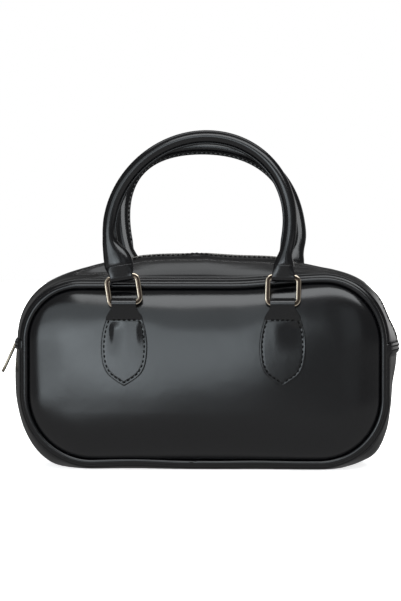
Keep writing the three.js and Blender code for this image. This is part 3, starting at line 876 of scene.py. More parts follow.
class HANDBAG_OT_piping(bpy.types.Operator):
    """Builds the covered cords in the seams round the panels"""

    bl_idname = "handbag.piping"
    bl_label = "Piping"

    def execute(self, context):
        leather = material_of("Coated leather")
        for side in SIDES:
            bm = mirrored(tube(piping_line, PIPING_STEPS, PIPING_SIDES, closed=True), side)
            finished(f"{side}_piping_cord", bm, leather, replaced=[f"{side}_piping"])
        return {"FINISHED"}


# Gusset strips
STRIP_STEPS = 230
STRIP_ROWS = 44
BASE_STEPS = 300
BASE_ROWS = 84
FOLD_SETBACK = 2.9 * MM
WRINKLE_SPACING = 9.5 * MM
FLAP_X = -9 * MM
FLAP_REACH = 17 * MM
FLAP_RISE = 1.5 * MM
EDGE_ROUND = 1.2 * MM
STRIP_SEAM = 43.8 * MM
STRIP_SEAM_END = 0.004
STRIP_SEAM_SAMPLES = 260
STRIP_SPACING = 1.25
FOLDS_FROM = 0.30
FOLDS_TO = 0.43
FOLDS_FADE = 0.05
FOLDS_NEAR = 7 * MM
FOLDS_NEAR_FADE = 3 * MM
FOLDS_FAR = 36 * MM
FOLDS_FAR_FADE = 12 * MM
SWAY_DEPTH = 1.2 * MM
SWAY_RATE = 22
EDGE_WAVE_FROM = 36 * MM
EDGE_WAVE_FADE = 11 * MM
EDGE_WAVE_DEPTH = 0.5 * MM
EDGE_WAVE_RATE = 30
EDGE_WAVE_SEED = 5
EDGE_CURL = 0.7
BASE_SHARE = 1 - ZIP_LEFT + ZIP_RIGHT
BASE_LENGTH = BASE_SHARE * RIM_LENGTH
BASE_SPACING = 0.8
FOLD_FADE = 2 * MM
HEM_STEP = 1 * MM
HEM_ROWS = (2.2 * MM, 5.2 * MM)
HEM_ROW_END = 6 * MM
HEM_ROW_SAMPLES = 80
AHEAD_STEP = 1e-4
ASIDE_STEP = 0.2 * MM


def zip_share(u):
    """The zip and the strips beside it run from its right end to its left one."""
    return ZIP_RIGHT + u * (ZIP_LEFT - ZIP_RIGHT)


def strip_relief(share, setback, sizes, phase):
    """Folds that run along the strip round the top right corner, and the wavy folded edge beside the zip."""
    point, _ = rim(share)
    folds = smooth((share - FOLDS_FROM) / FOLDS_FADE) * smooth((FOLDS_TO - share) / FOLDS_FADE)
    folds *= smooth((setback - FOLDS_NEAR) / FOLDS_NEAR_FADE)
    folds *= smooth((FOLDS_FAR - setback) / FOLDS_FAR_FADE)
    sway = SWAY_DEPTH * noise.noise(Vector((share * SWAY_RATE, phase, 0)))
    wrinkle = sizes.wrinkle_depth * folds * math.cos(2 * math.pi * (setback + sway) / WRINKLE_SPACING)
    near_edge = smooth((setback - EDGE_WAVE_FROM) / EDGE_WAVE_FADE)
    flap = FLAP_RISE * hump(point.x, FLAP_X, FLAP_REACH) if phase == 0 else 0
    wavy = EDGE_WAVE_DEPTH * noise.noise(Vector((share * EDGE_WAVE_RATE, EDGE_WAVE_SEED + phase, 0)))
    to_edge = max(EDGE_ROUND - (ZIP_EDGE - setback), 0)
    curl = EDGE_ROUND - math.sqrt(EDGE_ROUND**2 - min(to_edge, EDGE_ROUND) ** 2)
    return wrinkle + near_edge * (flap + wavy) - EDGE_CURL * curl


def strip_point(share, setback, sizes, phase):
    lift = gusset_lift(share, setback) + strip_relief(share, setback, sizes, phase)
    return on_bag(share, setback, lift)


def base_share(u):
    """The base strip runs from the zip's left end under the bag to its right end."""
    return ZIP_LEFT + u * BASE_SHARE


def base_point(u, setback):
    """The base strip, with a turned hem at each end, flat where it rests on the ground."""
    share = base_share(u)
    from_end = min(u, 1 - u) * BASE_LENGTH
    rise = HEM_RISE * smooth((HEM_LENGTH - from_end) / HEM_STEP)
    from_seam = min(setback, 2 * HALF_DEPTH - setback)
    rise *= smooth((from_seam - FOLD_SETBACK) / FOLD_FADE)
    point = on_bag(share, setback, gusset_lift(share, setback) + rise)
    point.z = max(point.z, 0)
    return point


def surface_line(point_at, start, end, count, lift=0.0):
    """Samples of a line on a surface with its normal. point_at(t, aside) gives points on and beside it."""
    samples = []
    for k in range(count + 1):
        t = start + (end - start) * k / count
        here = point_at(t, 0)
        ahead = point_at(t + AHEAD_STEP, 0) - here
        aside = point_at(t, ASIDE_STEP) - here
        normal = ahead.cross(aside).normalized()
        samples.append((here + normal * lift, normal))
    return samples


class HANDBAG_OT_gussets(bpy.types.Operator):
    """Builds the strips beside the zip and the strip under the bag, with their stitches"""

    bl_idname = "handbag.gussets"
    bl_label = "Gussets"

    def execute(self, context):
        sizes = context.scene.handbag_sizes
        leather = material_of("Coated leather")
        thread = material_of("Bonded nylon thread")
        for phase, side in enumerate(SIDES):

            def place(u, v):
                setback = FOLD_SETBACK + (ZIP_EDGE - FOLD_SETBACK) * v**STRIP_SPACING
                return strip_point(zip_share(u), setback, sizes, phase)

            bm = shaped_grid(STRIP_STEPS, STRIP_ROWS, place)
            mirrored(bm, side)
            bmesh.ops.reverse_faces(bm, faces=bm.faces)
            name = f"{side}_zip_gusset"
            finished(f"{name}_leather", bm, leather, replaced=[name], wall=WALL)
            seam = bmesh.new()
            row = surface_line(
                lambda t, aside: strip_point(t, STRIP_SEAM - aside, sizes, phase),
                ZIP_RIGHT + STRIP_SEAM_END,
                ZIP_LEFT - STRIP_SEAM_END,
                STRIP_SEAM_SAMPLES,
            )
            sew(seam, row, sizes)
            finished(f"{name}_thread", mirrored(seam, side), thread)

        def place_base(u, v):
            mid = 2 * v - 1
            setback = HALF_DEPTH + squared(mid, BASE_SPACING) * (HALF_DEPTH - FOLD_SETBACK)
            return base_point(u, setback)

        bm = shaped_grid(BASE_STEPS, BASE_ROWS, place_base)
        bmesh.ops.reverse_faces(bm, faces=bm.faces)
        finished("base_gusset_leather", bm, leather, replaced=["base_gusset"], wall=WALL)
        hems = bmesh.new()
        for from_end in HEM_ROWS:
            for u in (from_end / BASE_LENGTH, 1 - from_end / BASE_LENGTH):
                row = surface_line(
                    lambda t, aside: base_point(u - aside / BASE_LENGTH, t),
                    HEM_ROW_END,
                    2 * HALF_DEPTH - HEM_ROW_END,
                    HEM_ROW_SAMPLES,
                )
                sew(hems, row, sizes)
        finished("base_gusset_thread", hems, thread)
        return {"FINISHED"}


# Zip
TAPE_STEPS = 200
TAPE_ROWS = 10
TAPE_WALL = 1 * MM
ZIP_STRETCH = 1.1  # the zip lies outside the piping's line
TOOTH_BEVEL = 0.35 * MM


def zip_frame(share, lift):
    """A place over the zip's middle with X along it, Y across and Z out of the bag."""
    _, out = rim(share)
    point = on_bag(share, HALF_DEPTH, gusset_lift(share, HALF_DEPTH) + lift)
    up = Vector((out.x, 0, out.y))
    across = Vector((0, 1, 0))
    turn = Matrix((across.cross(up), across, up)).transposed().to_4x4()
    return Matrix.Translation(point) @ turn


class HANDBAG_OT_zip(bpy.types.Operator):
    """Builds the zip's tape, teeth, slider and pull"""

    bl_idname = "handbag.zip"
    bl_label = "Zip"

    def execute(self, context):
        sizes = context.scene.handbag_sizes

        def place(u, v):
            share = zip_share(u)
            setback = HALF_DEPTH + (2 * v - 1) * TAPE_REACH
            return on_bag(share, setback, gusset_lift(share, setback) - TAPE_SINK)

        tape = shaped_grid(TAPE_STEPS, TAPE_ROWS, place)
        bmesh.ops.reverse_faces(tape, faces=tape.faces)
        cloth = material_of("Woven polyester tape")
        finished("zip_tape_cloth", tape, cloth, replaced=["zip_tape"], wall=TAPE_WALL)

        teeth = bmesh.new()
        count = int((ZIP_LEFT - ZIP_RIGHT) * RIM_LENGTH * ZIP_STRETCH / sizes.tooth_pitch * 2)
        for k in range(count):
            place_at = zip_frame(zip_share((k + 0.5) / count), TOOTH_RISE - TOOTH.z / 2)
            aside = Matrix.Translation((0, TOOTH_OFFSET if k % 2 else -TOOTH_OFFSET, 0))
            size = Matrix.Diagonal((*TOOTH, 1))
            bmesh.ops.create_cube(teeth, size=1, matrix=place_at @ aside @ size)
        bmesh.ops.bevel(
            teeth,
            geom=teeth.edges[:],
            offset=TOOTH_BEVEL,
            segments=1,
            profile=0.5,
            affect="EDGES",
            material=-1,
        )
        metal = material_of("Dark nickel plated brass")
        finished("zip_teeth_row", teeth, metal, replaced=["zip_teeth"])
        aged = material_of("Aged gold plated zinc")
        finished("zip_slider_body", slider_mesh(), aged, replaced=["zip_slider"])
        finished("zip_pull_plate", pull_mesh(), aged, body="zip_pull", replaced=["zip_pull"])
        return {"FINISHED"}


def rounded_plate(outline, thickness, edge):
    """A flat plate from the points of its outline, with rounded edges, in the XY plane from Z 0 up."""
    bm = bmesh.new()
    face = bm.faces.new([bm.verts.new((x, y, 0)) for x, y in outline])
    grown = bmesh.ops.extrude_face_region(bm, geom=[face])
    top = [v for v in grown["geom"] if isinstance(v, bmesh.types.BMVert)]
    bmesh.ops.translate(bm, vec=(0, 0, thickness), verts=top)
    bmesh.ops.recalc_face_normals(bm, faces=bm.faces)
    rims = [e for e in bm.edges if abs(e.verts[0].co.z - e.verts[1].co.z) < thickness / 2]
    bmesh.ops.bevel(bm, geom=rims, offset=edge, segments=3, profile=0.5, affect="EDGES", material=-1)
    return bm


def wire_loop(width, height, corner, radius, steps, sides, half_width=None, power=1):
    """A closed rounded rectangle of round or flattened wire in the XZ plane, about its own middle."""

    def line(u, v):
        run = u * (2 * (width + height) - 8 * corner + 2 * math.pi * corner)
        here = Vector((0, -height / 2))
        first = -90
        for across, up in ((1, -1), (1, 1), (-1, 1), (-1, -1), (1, -1)):
            centre = Vector((across * (width / 2 - corner), up * (height / 2 - corner)))
            start = centre + corner * direction(first)
            straight = (start - here).length
            if run <= straight:
                out = direction(first)
                point = here + run * direction(first + 90)
                break
            run -= straight
            arc = corner * math.pi / 2
            if run <= arc:
                out = direction(first + math.degrees(run / corner))
                point = centre + corner * out
                break
            run -= arc
            first += 90
            here = centre + corner * direction(first)
        wide = Vector((out.x, 0, out.y)) * (half_width or radius)
        return Vector((point.x, 0, point.y)), wide, Vector((0, radius, 0))

    return tube(line, steps, sides, closed=True, power=power)


def joined(*meshes):
    """One bmesh that holds all of these."""
    whole = bmesh.new()
    for bm in meshes:
        mesh = bpy.data.meshes.new("joining")
        bm.to_mesh(mesh)
        bm.free()
        whole.from_mesh(mesh)
        bpy.data.meshes.remove(mesh)
    return whole


def slider_mesh():
    """A flat slider with a bridge for its pull, at the left end of the zip."""
    half_length = SLIDER_LENGTH / 2
    half_width = SLIDER_WIDTH / 2
    half_tail = SLIDER_TAIL / 2
    nose = SLIDER_NOSE * half_width
    plan = (
        (-half_length, -half_tail),
        (half_length / 2, -half_width),
        (half_length, -nose),
        (half_length, nose),
        (half_length / 2, half_width),
        (-half_length, half_tail),
    )
    plate = rounded_plate(plan, SLIDER_THICKNESS, SLIDER_EDGE)
    bridge = wire_loop(BRIDGE_WIDTH, BRIDGE_HEIGHT, EYE_CORNER, EYE_WIRE, BRIDGE_STEPS, EYE_SIDES)
    bmesh.ops.translate(bridge, vec=(0, 0, SLIDER_THICKNESS + BRIDGE_RISE), verts=bridge.verts)
    slider = joined(plate, bridge)
    corner = CORNERS[2]
    share = ZIP_LEFT - corner.radius * math.radians(SLIDER_ANGLE) / RIM_LENGTH
    bmesh.ops.transform(slider, matrix=zip_frame(share, SLIDER_LEVEL), verts=slider.verts)
    return slider


def pull_mesh():
    """A flat pull that hangs from an eye round the slider's bridge."""
    eye = wire_loop(EYE_WIDTH, EYE_LENGTH, EYE_CORNER, EYE_WIRE, EYE_STEPS, EYE_SIDES)
    bmesh.ops.rotate(eye, cent=(0, 0, 0), matrix=Matrix.Rotation(math.pi / 2, 3, "Z"), verts=eye.verts)
    bmesh.ops.translate(eye, vec=(0, 0, -EYE_LENGTH / 2), verts=eye.verts)
    half = PULL_WIDTH / 2
    neck_half = PULL_NECK_SHARE * half
    shoulder = -EYE_LENGTH - PULL_SHOULDER
    neck = -EYE_LENGTH + PULL_NECK
    end = -PULL_LENGTH + half
    outline = [(-half, shoulder), (-neck_half, neck), (neck_half, neck), (half, shoulder)]
    for k in range(PULL_END_STEPS + 1):
        angle = -math.pi * k / PULL_END_STEPS
        outline.append((half * math.cos(angle), end + half * math.sin(angle)))
    plate = rounded_plate(outline, PULL_THICKNESS, PULL_EDGE)
    stand = Matrix(((0, 0, 1), (1, 0, 0), (0, 1, 0))).to_4x4()
    bmesh.ops.transform(plate, matrix=stand, verts=plate.verts)
    bmesh.ops.translate(plate, vec=(-PULL_THICKNESS / 2, 0, 0), verts=plate.verts)
    pull = joined(eye, plate)
    place = Matrix.Translation(PULL_PIVOT) @ Matrix.Rotation(math.radians(PULL_HANG), 4, "Y")
    bmesh.ops.transform(pull, matrix=place, verts=pull.verts)
    return pull


# Tabs
TAB_COLUMNS = 44
TAB_STEPS = 130
TAB_EDGE = 0.6 * MM
GROOVE_DEPTH = 0.12 * MM
GROOVE_REACH = 0.9 * MM
TAB_SPACING = 1.25
TAB_STEP = 0.5 * MM
TAB_NORMAL_STEP = 0.3 * MM
TAB_TIP_GAP = 0.3 * MM
TOP_ROW_HALF = 10
STRAP_WALL = 1.3 * MM


def tab_half_width(drop):
    return curve(TAB_ROWS, "half_width", drop / MM) * MM


def tab_slant(drop):
    """Width across the tab that one unit straight in from its edge takes up."""
    widening = tab_half_width(drop + TAB_STEP) - tab_half_width(drop - TAB_STEP)
    return math.hypot(1, widening / (2 * TAB_STEP))


def tab_inset(across, drop):
    """About how far a point is from the tab's edge."""
    return (tab_half_width(drop) - abs(across)) / tab_slant(drop)


def tab_point(x, across, drop, sizes):
    """The tab's face where it lies on the panel.

    It has a rounded edge, a stitched groove, and dents beside the strap's end underneath.
    """
    z = RING_BAR_HEIGHT - drop
    inset = max(tab_inset(across, drop), 0)
    edge = 1 - (1 - min(inset / TAB_EDGE, 1)) ** 2
    height = GAP + TAB_THICKNESS * math.sqrt(edge)
    height -= GROOVE_DEPTH * hump(inset, sizes.stitch_inset, GROOVE_REACH)
    height -= GROOVE_DEPTH * hump(drop, TAB_SEAM_DROP, GROOVE_REACH) * min(inset / TAB_EDGE, 1)
    dent = 0
    for each in TAB_DENTS["left" if x < 0 else "right"]:
        reach = each.left_reach if across / MM < each.aside else each.right_reach
        dent += each.depth * hump(across / MM, each.aside, reach)
    dent *= smooth((DENT_END - drop) / DENT_FADE)
    dent *= smooth((drop - TAB_SEAM_DROP + DENT_LEAD) / DENT_ONSET)
    height -= dent * MM * smooth(inset / DENT_EDGE)
    return Vector((x + across, -HALF_DEPTH - panel_crown(x + across, z) - height, z))


def tab_path(x, sizes):
    """Where the tab's strap leaves the panel, and the angle and point at which it meets its loop.

    They are seen along the hinge line, as (out, up) from it.
    """
    seam = tab_point(x, 0, TAB_SEAM_DROP, sizes)
    start = Vector((-seam.y - HINGE_OUT, seam.z - RING_BAR_HEIGHT))
    lean = math.acos(TAB_LOOP_RADIUS / start.length)
    first = math.atan2(start.y, start.x) + lean
    touch = TAB_LOOP_RADIUS * Vector((math.cos(first), math.sin(first)))
    return start, first, touch


def tab_place(x, sizes):
    """A strap of leather as a grid: u runs from the tip up the panel and round the ring's bar, v across."""
    start, first, touch = tab_path(x, sizes)
    on_panel = TAB_TIP_DROP - TAB_SEAM_DROP
    rising = (touch - start).length
    last = math.radians(TAB_WRAP)
    over = TAB_LOOP_RADIUS * (last - first)
    whole = on_panel + rising + over + TAB_BEHIND
    seam_half = tab_half_width(TAB_SEAM_DROP)

    def place(u, v):
        run = u * whole
        across = math.copysign(1 - (1 - abs(2 * v - 1)) ** TAB_SPACING, 2 * v - 1)
        if run <= on_panel:
            drop = TAB_TIP_DROP - run
            return tab_point(x, across * tab_half_width(drop), drop, sizes)
        run -= on_panel
        narrowing = smooth(run / rising)
        half = seam_half + (TAB_LOOP_HALF_WIDTH - seam_half) * narrowing
        if run <= rising:
            flat = start.lerp(touch, run / rising)
        elif run <= rising + over:
            angle = first + (run - rising) / TAB_LOOP_RADIUS
            flat = TAB_LOOP_RADIUS * Vector((math.cos(angle), math.sin(angle)))
        else:
            flat = TAB_LOOP_RADIUS * Vector((math.cos(last), math.sin(last)))
            flat = flat + (run - rising - over) * Vector((TAB_BEHIND_SLOPE, -1))
        return Vector((x + across * half, -HINGE_OUT - flat.x, RING_BAR_HEIGHT + flat.y))

    return place


def tab_stitch_rows(x, sizes):
    """The row round the tab's edge and the row across its top, as (point, normal) samples."""

    def sample(across, drop):
        here = tab_point(x, across, drop, sizes)
        beside = tab_point(x, across + TAB_NORMAL_STEP, drop, sizes) - here
        below = tab_point(x, across, drop + TAB_NORMAL_STEP, sizes) - here
        return here, below.cross(beside).normalized()

    right = []
    drop = TAB_SEAM_DROP
    while True:
        across = tab_half_width(drop) - sizes.stitch_inset * tab_slant(drop)
        if across <= TAB_TIP_GAP or drop > TAB_TIP_DROP - sizes.stitch_inset:
            break
        right.append((across, drop))
        drop += TAB_STEP
    side = [sample(a, d) for a, d in right] + [sample(-a, d) for a, d in reversed(right)]
    first = right[0][0] - sizes.stitch_pitch / 2
    top = []
    for k in range(2 * TOP_ROW_HALF + 1):
        top.append(sample(first * (1 - k / TOP_ROW_HALF), TAB_SEAM_DROP + TAB_ROW_DROP))
    return side, top


class HANDBAG_OT_tabs(bpy.types.Operator):
    """Builds the stitched tabs that hold the rings"""

    bl_idname = "handbag.tabs"
    bl_label = "Tabs"

    def execute(self, context):
        sizes = context.scene.handbag_sizes
        leather = material_of("Coated leather")
        thread = material_of("Bonded nylon thread")
        for side in SIDES:
            for hand, sign in HANDS.items():
                name = f"{side}_tab_{hand}"
                bm = shaped_grid(TAB_STEPS, TAB_COLUMNS, tab_place(sign * TAB_X, sizes))
                bmesh.ops.reverse_faces(bm, faces=bm.faces)
                mirrored(bm, side)
                finished(f"{name}_leather", bm, leather, replaced=[name], wall=STRAP_WALL)
                seam = bmesh.new()
                for row in tab_stitch_rows(sign * TAB_X, sizes):
                    sew(seam, row, sizes)
                finished(f"{name}_thread", mirrored(seam, side), thread)
        return {"FINISHED"}


# Rings and handles
HANDLE_STEPS = 240
HANDLE_SIDES = 28
FLANGE_OUT = 1.7 * MM
FLANGE_HALF = 1.1 * MM
FLANGE_FROM = 16 * MM
FLANGE_SIDES = 12
FLANGE_ONSET = 25
FLANGE_SINK = 1 * MM
FLANGE_LEAD = 0.6 * MM
FLANGE_REACH = 1.2 * MM
FLANGE_SEAM_END = 8 * MM
FLANGE_SEAM_SAMPLES = 200
ROLL_HALF = 5 * MM
GIRTH_FROM = 25  # millimetres from the foot
LEG_SAMPLES = 60
ARCH_SAMPLES = 80
LOOP_STEPS = 60
LOOP_COLUMNS = 20


def swing(side):
    """The place of a handle's plane, with its hinge line as X."""
    lean = Matrix.Rotation(math.radians(-HANDLES[side].lean), 4, "X")
    return Matrix.Translation((0, -HINGE_OUT, RING_BAR_HEIGHT)) @ lean


def ring_top(foot):
    """The middle of a ring's upper bar in the handle's plane, and the direction in which the ring points."""
    up = Vector((math.sin(math.radians(foot.tilt)), math.cos(math.radians(foot.tilt))))
    return Vector((foot.ring_x, 0)) + up * RING_RISE, up


def handle_samples(shape):
    """Points along a handle's middle line in its plane, from the left foot over the top to the right."""
    rise = ARCH_TOP - ARCH_SPRING
    spread = ARCH_SPREAD + shape.splay
    top = Vector((shape.shift + shape.skew, ARCH_TOP))
    halves = []
    for hand, sign in HANDS.items():
        point, up = ring_top(getattr(shape, hand))
        x = shape.shift + sign * spread
        foot = point + up * HANDLE_FOOT
        ankle = foot + up * LEG_REACH
        knee = Vector((x - shape.skew * LEG_REACH / rise, ARCH_SPRING - LEG_REACH))
        spring = Vector((x, ARCH_SPRING))
        haunch = Vector((x + shape.roundness * shape.skew, ARCH_SPRING + shape.roundness * rise))
        crest = Vector((x + shape.skew - (1 - shape.roundness) * sign * spread, ARCH_TOP))
        leg = interpolate_bezier(foot, ankle, knee, spring, LEG_SAMPLES)
        arch = interpolate_bezier(spring, haunch, crest, top, ARCH_SAMPLES)
        halves.append([*leg, *arch[1:]])
    left, right = halves
    return [*left, *reversed(right[:-1])]


def handle_path(shape):
    """A handle's whole length, and a function of the run from its foot: the point and the way ahead."""
    samples = handle_samples(shape)
    runs = [0]
    for a, b in zip(samples, samples[1:]):
        runs.append(runs[-1] + (b - a).length)

    def at(run):
        i = min(max(k for k in range(len(runs)) if runs[k] <= max(run, 0)), len(runs) - 2)
        share = (run - runs[i]) / (runs[i + 1] - runs[i])
        before = samples[max(i - 1, 0)]
        after = samples[min(i + 2, len(samples) - 1)]
        return samples[i].lerp(samples[i + 1], share), (after - before).normalized()

    return runs[-1], at


def foot_half_width(from_foot, foot):
    """Half the handle's width at a distance in millimetres from its foot, which flares like a bell."""
    slim = HANDLE_SECTIONS[-1].half_width
    bell = curve(HANDLE_SECTIONS, "half_width", from_foot / foot.height) - slim
    return (slim + foot.flare * bell) * MM


def in_plane(flat, depth=0.0):
    return Vector((flat.x, depth, flat.y))


class HANDBAG_OT_rings(bpy.types.Operator):
    """Builds the rectangular wire rings"""

    bl_idname = "handbag.rings"
    bl_label = "Rings"

    def execute(self, context):
        gold = material_of("Pale gold plated zinc")
        for side in SIDES:
            for hand in HANDS:
                foot = getattr(HANDLES[side], hand)
                bm = wire_loop(
                    RING_WIDTH,
                    RING_RISE,
                    RING_CORNER,
                    RING_WIRE,
                    RING_STEPS,
                    RING_SIDES,
                    RING_FACE,
                    RING_SQUARENESS,
                )
                bmesh.ops.translate(bm, vec=(0, 0, RING_RISE / 2), verts=bm.verts)
                tilt = Matrix.Rotation(math.radians(foot.tilt), 4, "Y")
                tilt = tilt @ Matrix.Rotation(math.radians(RING_TURN[side]), 4, "Z")
                place = swing(side) @ Matrix.Translation((foot.ring_x, 0, 0)) @ tilt
                bmesh.ops.transform(bm, matrix=place, verts=bm.verts)
                mirrored(bm, side)
                node = f"{side}_ring_{hand}"
                finished(f"{node}_wire", bm, gold, body=f"{side}_handle", replaced=[node])
        return {"FINISHED"}


class HANDBAG_OT_handles(bpy.types.Operator):
    """Builds the rolled handles with their stitched flange and the straps round the rings"""

    bl_idname = "handbag.handles"
    bl_label = "Handles"

    def execute(self, context):
        sizes = context.scene.handbag_sizes
        leather = material_of("Coated leather")
        thread = material_of("Bonded nylon thread")
        for side in SIDES:
            body = f"{side}_handle"
            shape = HANDLES[side]
            girth = shape.girth
            whole, at = handle_path(shape)

            def roll(u, v):
                point, ahead = at(u * whole)
                from_foot = min(u, 1 - u) * whole / MM
                wide = foot_half_width(from_foot, shape.left if u < 0.5 else shape.right)
                wide *= 1 + (girth - 1) * smooth(from_foot / GIRTH_FROM)
                deep = curve(HANDLE_SECTIONS, "half_depth", from_foot) * MM
                return in_plane(point), in_plane(Vector((-ahead.y, ahead.x))) * wide, Vector((0, deep, 0))

            bm = tube(roll, HANDLE_STEPS, HANDLE_SIDES)
            bmesh.ops.transform(bm, matrix=swing(side), verts=bm.verts)
            handle = finished(
                f"{body}_roll", mirrored(bm, side), leather, body=body, replaced=[body]
            )

            def flange(u, v):
                run = FLANGE_FROM + u * (whole - 2 * FLANGE_FROM)
                point, ahead = at(run)
                inward = Vector((ahead.y, -ahead.x))
                shown = smooth(min(u, 1 - u) * FLANGE_ONSET)
                out = ROLL_HALF * girth - FLANGE_SINK + (FLANGE_OUT - FLANGE_LEAD) * shown
                middle = in_plane(point + inward * out)
                return middle, in_plane(inward) * FLANGE_REACH, Vector((0, FLANGE_HALF, 0))

            bm = tube(flange, HANDLE_STEPS, FLANGE_SIDES)
            bmesh.ops.transform(bm, matrix=swing(side), verts=bm.verts)
            finished(f"{body}_flange", mirrored(bm, side), leather, body=body)

            seam = bmesh.new()
            row = []
            seam_from = FLANGE_FROM + FLANGE_SEAM_END
            for k in range(FLANGE_SEAM_SAMPLES):
                point, ahead = at(seam_from + k / (FLANGE_SEAM_SAMPLES - 1) * (whole - 2 * seam_from))
                inward = Vector((ahead.y, -ahead.x))
                row.append((in_plane(point + inward * ROLL_HALF * girth, FLANGE_HALF), Vector((0, 1, 0))))
            sew(seam, row, sizes)
            bmesh.ops.transform(seam, matrix=swing(side), verts=seam.verts)
            finished(f"{body}_thread", mirrored(seam, side), thread, body=body)
            for hand in HANDS:
                bm = shaped_grid(LOOP_STEPS, LOOP_COLUMNS, strap_place(getattr(shape, hand)))
                bmesh.ops.transform(bm, matrix=swing(side), verts=bm.verts)
                mirrored(bm, side)
                finished(f"{body}_strap_{hand}", bm, leather, body=body, wall=STRAP_WALL)
        return {"FINISHED"}


def strap_place(foot):
    """A band round a ring's upper bar: u runs down the front, under the bar and up the back, v across.

    It widens upwards with the foot that it is sewn to, and its corners bend back.
    """
    point, up = ring_top(foot)
    beside = Vector((up.y, -up.x))
    arc = math.pi * HANDLE_LOOP_RADIUS
    whole = arc + 2 * HANDLE_LOOP_RISE
    foot_half = foot_half_width((HANDLE_LOOP_RISE - HANDLE_FOOT) / MM, foot)

    def place(u, v):
        run = u * whole
        aside = 2 * v - 1
        half = HANDLE_LOOP_HALF_WIDTH
        if run < HANDLE_LOOP_RISE or run > whole - HANDLE_LOOP_RISE:
            height = HANDLE_LOOP_RISE - min(run, whole - run)
            risen = height / HANDLE_LOOP_RISE
            half += (STRAP_TUCK * foot_half - half) * smooth(risen)
            depth = HANDLE_LOOP_RADIUS + (STRAP_TOP_DEPTH - HANDLE_LOOP_RADIUS) * risen
            depth *= 1 - STRAP_CORNER_BEND * risen * abs(aside) ** STRAP_CORNER_POWER
            depth = -depth if u < 0.5 else depth
        else:
            angle = (run - HANDLE_LOOP_RISE) / HANDLE_LOOP_RADIUS
            height = -HANDLE_LOOP_RADIUS * math.sin(angle)
            depth = -HANDLE_LOOP_RADIUS * math.cos(angle)
        flat = point + up * height + beside * aside * half
        return in_plane(flat, depth)

    return place


# Stage
FLOOR_RADIUS = 5.0
ROOM_LIGHT = 0.37  # the dim room in front of the bag
DARK_LIGHT = 0.15  # the dark side of the room, behind it
FLOOR_LIGHT = 0.85  # what the leather mirrors of the floor in front
SWEEP_LIGHT = 0.8  # the pale sweep behind it on the right
CEILING_LIGHT = 0.5  # the pale ceiling
BOX_ROLL = 3  # degrees
SENSOR_WIDTH = 36  # millimetres
COOL_WHITE = (0.9, 1.0, 1.06)
NEAR_WHITE = (0.97, 1, 1.02)


def area_light(name, place, target, width, height, power, colour=(1, 1, 1), roll=0):
    """A soft box that faces a target, with its right end raised by a roll in degrees."""
    data = bpy.data.lights.new(name, "AREA")
    data.shape = "RECTANGLE"
    data.size = width
    data.size_y = height
    data.energy = power
    data.color = colour
    light = bpy.data.objects.new(name, data)
    light.location = place
    aim = (Vector(target) - Vector(place)).to_track_quat("-Z", "Y")
    light.rotation_euler = (aim @ Quaternion((0, 0, 1), math.radians(roll))).to_euler()
    light.visible_camera = False
    bpy.context.scene.collection.objects.link(light)


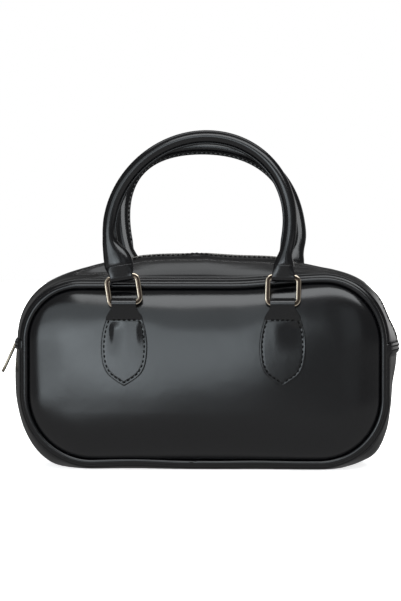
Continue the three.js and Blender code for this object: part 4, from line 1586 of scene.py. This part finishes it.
class HANDBAG_OT_stage(bpy.types.Operator):
    """Sets the floor, the soft light and the camera"""

    bl_idname = "handbag.stage"
    bl_label = "Stage"

    def execute(self, context):
        scene = context.scene
        bm = bmesh.new()
        bmesh.ops.create_circle(bm, cap_ends=True, segments=96, radius=FLOOR_RADIUS)
        mesh = bpy.data.meshes.new("floor")
        bm.to_mesh(mesh)
        bm.free()
        mesh.materials.append(material_of("Matt studio floor"))
        floor = bpy.data.objects.new("floor", mesh)
        scene.collection.objects.link(floor)
        floor.visible_glossy = False

        world = bpy.data.worlds.new("Studio")
        world.use_nodes = True
        world.node_tree.nodes.clear()
        tree = world.node_tree
        way = add_node(tree, "ShaderNodeTexCoord").outputs["Generated"]
        parts = add_node(tree, "ShaderNodeSeparateXYZ", {"Vector": way})

        def ramp(axis, none, full):
            inputs = {"Value": parts.outputs[axis], "From Min": none, "From Max": full}
            return add_node(tree, "ShaderNodeMapRange", inputs).outputs["Result"]

        def fold(operation, first, *others):
            for other in others:
                made = add_node(tree, "ShaderNodeMath", {0: first, 1: other}, operation=operation)
                first = made.outputs["Value"]
            return first

        front = ramp("Y", 0.2, -0.2)
        floor_part = fold("MULTIPLY", front, ramp("Z", 0.02, -0.06))
        sweep_part = fold(
            "MULTIPLY",
            ramp("Y", 0.1, 0.5),
            ramp("Z", 0.45, 0.15),
            ramp("Z", -0.12, 0.03),
            ramp("X", -0.05, 0.3),
        )
        bright = fold(
            "MAXIMUM",
            spread(tree, front, DARK_LIGHT, ROOM_LIGHT),
            spread(tree, floor_part, 0, FLOOR_LIGHT),
            spread(tree, sweep_part, 0, SWEEP_LIGHT),
            spread(tree, ramp("Z", 0.6, 0.85), 0, CEILING_LIGHT),
        )
        seen = add_node(tree, "ShaderNodeLightPath").outputs["Is Camera Ray"]
        sky = add_node(tree, "ShaderNodeBackground", {"Strength": fold("MAXIMUM", seen, bright)})
        sky.inputs["Color"].default_value = (1, 1, 1, 1)
        add_node(tree, "ShaderNodeOutputWorld", {"Surface": sky.outputs["Background"]})
        scene.world = world
        scene.view_settings.view_transform = "Standard"

        target = (0, 0, 0.1)
        area_light("front left box", (-1.72, -4.6, 0.5), (0, 0, 0.5), 4.05, 1.0, 71, COOL_WHITE, BOX_ROLL)
        area_light(
            "foot of the box", (-2.27, -4.45, -0.07), (0, 0, -0.07), 3.4, 0.6, 15, COOL_WHITE, BOX_ROLL
        )
        area_light("core of the box", (-1.3, -4.85, 0.3), (0, 0, 0.3), 1.0, 0.42, 4.5, COOL_WHITE)
        area_light("end of the box", (-0.02, -4.85, 0.62), (0, 0, 0.62), 0.5, 0.45, 1.4, COOL_WHITE)
        area_light(
            "scrim over the box", (-1.72, -4.6, 1.95), (0, 0, 1.95), 4.05, 1.85, 57, COOL_WHITE, BOX_ROLL
        )
        area_light("right fill", (1.6, -4.7, 1.0), (0, 0, 1.0), 1.2, 1.8, 4.7, COOL_WHITE)
        area_light("front top strip", (0.3, -0.97, 1.1), target, 1.4, 0.6, 21, NEAR_WHITE)
        area_light("back top box", (0, 0.35, 1.3), target, 1.6, 0.4, 4.2, NEAR_WHITE)
        area_light("sweep light", (0, 2.2, 2.6), (0, 5, 0), 6, 2.4, 330)

        azimuth, elevation = math.radians(CAMERA_AZIMUTH), math.radians(CAMERA_ELEVATION)
        data = bpy.data.cameras.new("camera")
        data.sensor_width = SENSOR_WIDTH
        data.lens = SENSOR_WIDTH * CAMERA_FOCAL_PIXELS / PHOTO_HEIGHT_PIXELS
        camera = bpy.data.objects.new("camera", data)
        back = Vector(
            (
                math.sin(azimuth) * math.cos(elevation),
                -math.cos(azimuth) * math.cos(elevation),
                math.sin(elevation),
            )
        )
        camera.location = CAMERA_TARGET + back * CAMERA_DISTANCE
        camera.rotation_euler = (math.pi / 2 - elevation, 0, azimuth)
        scene.collection.objects.link(camera)
        scene.camera = camera
        return {"FINISHED"}


OPERATORS = (
    HANDBAG_OT_panels,
    HANDBAG_OT_piping,
    HANDBAG_OT_gussets,
    HANDBAG_OT_zip,
    HANDBAG_OT_tabs,
    HANDBAG_OT_rings,
    HANDBAG_OT_handles,
    HANDBAG_OT_stage,
)


class HANDBAG_PT_sidebar(bpy.types.Panel):
    """Lists the sizes, the colours and the steps that build the bag"""

    bl_idname = "HANDBAG_PT_sidebar"
    bl_label = "Handbag"
    bl_space_type = "VIEW_3D"
    bl_region_type = "UI"
    bl_category = "Handbag"

    def draw(self, context):
        for group in (context.scene.handbag_sizes, context.scene.handbag_colours):
            for name in group.__annotations__:
                self.layout.prop(group, name)
        for operator in OPERATORS:
            self.layout.operator(operator.bl_idname)


CLASSES = (HandbagSizes, HandbagColours, *OPERATORS, HANDBAG_PT_sidebar)


def register():
    for cls in CLASSES:
        bpy.utils.register_class(cls)
    bpy.types.Scene.handbag_sizes = PointerProperty(type=HandbagSizes)
    bpy.types.Scene.handbag_colours = PointerProperty(type=HandbagColours)


def unregister():
    del bpy.types.Scene.handbag_colours
    del bpy.types.Scene.handbag_sizes
    for cls in reversed(CLASSES):
        bpy.utils.unregister_class(cls)


def main():
    register()
    for operator in OPERATORS:
        group, name = operator.bl_idname.split(".")
        getattr(getattr(bpy.ops, group), name)()


if __name__ == "__main__":
    main()
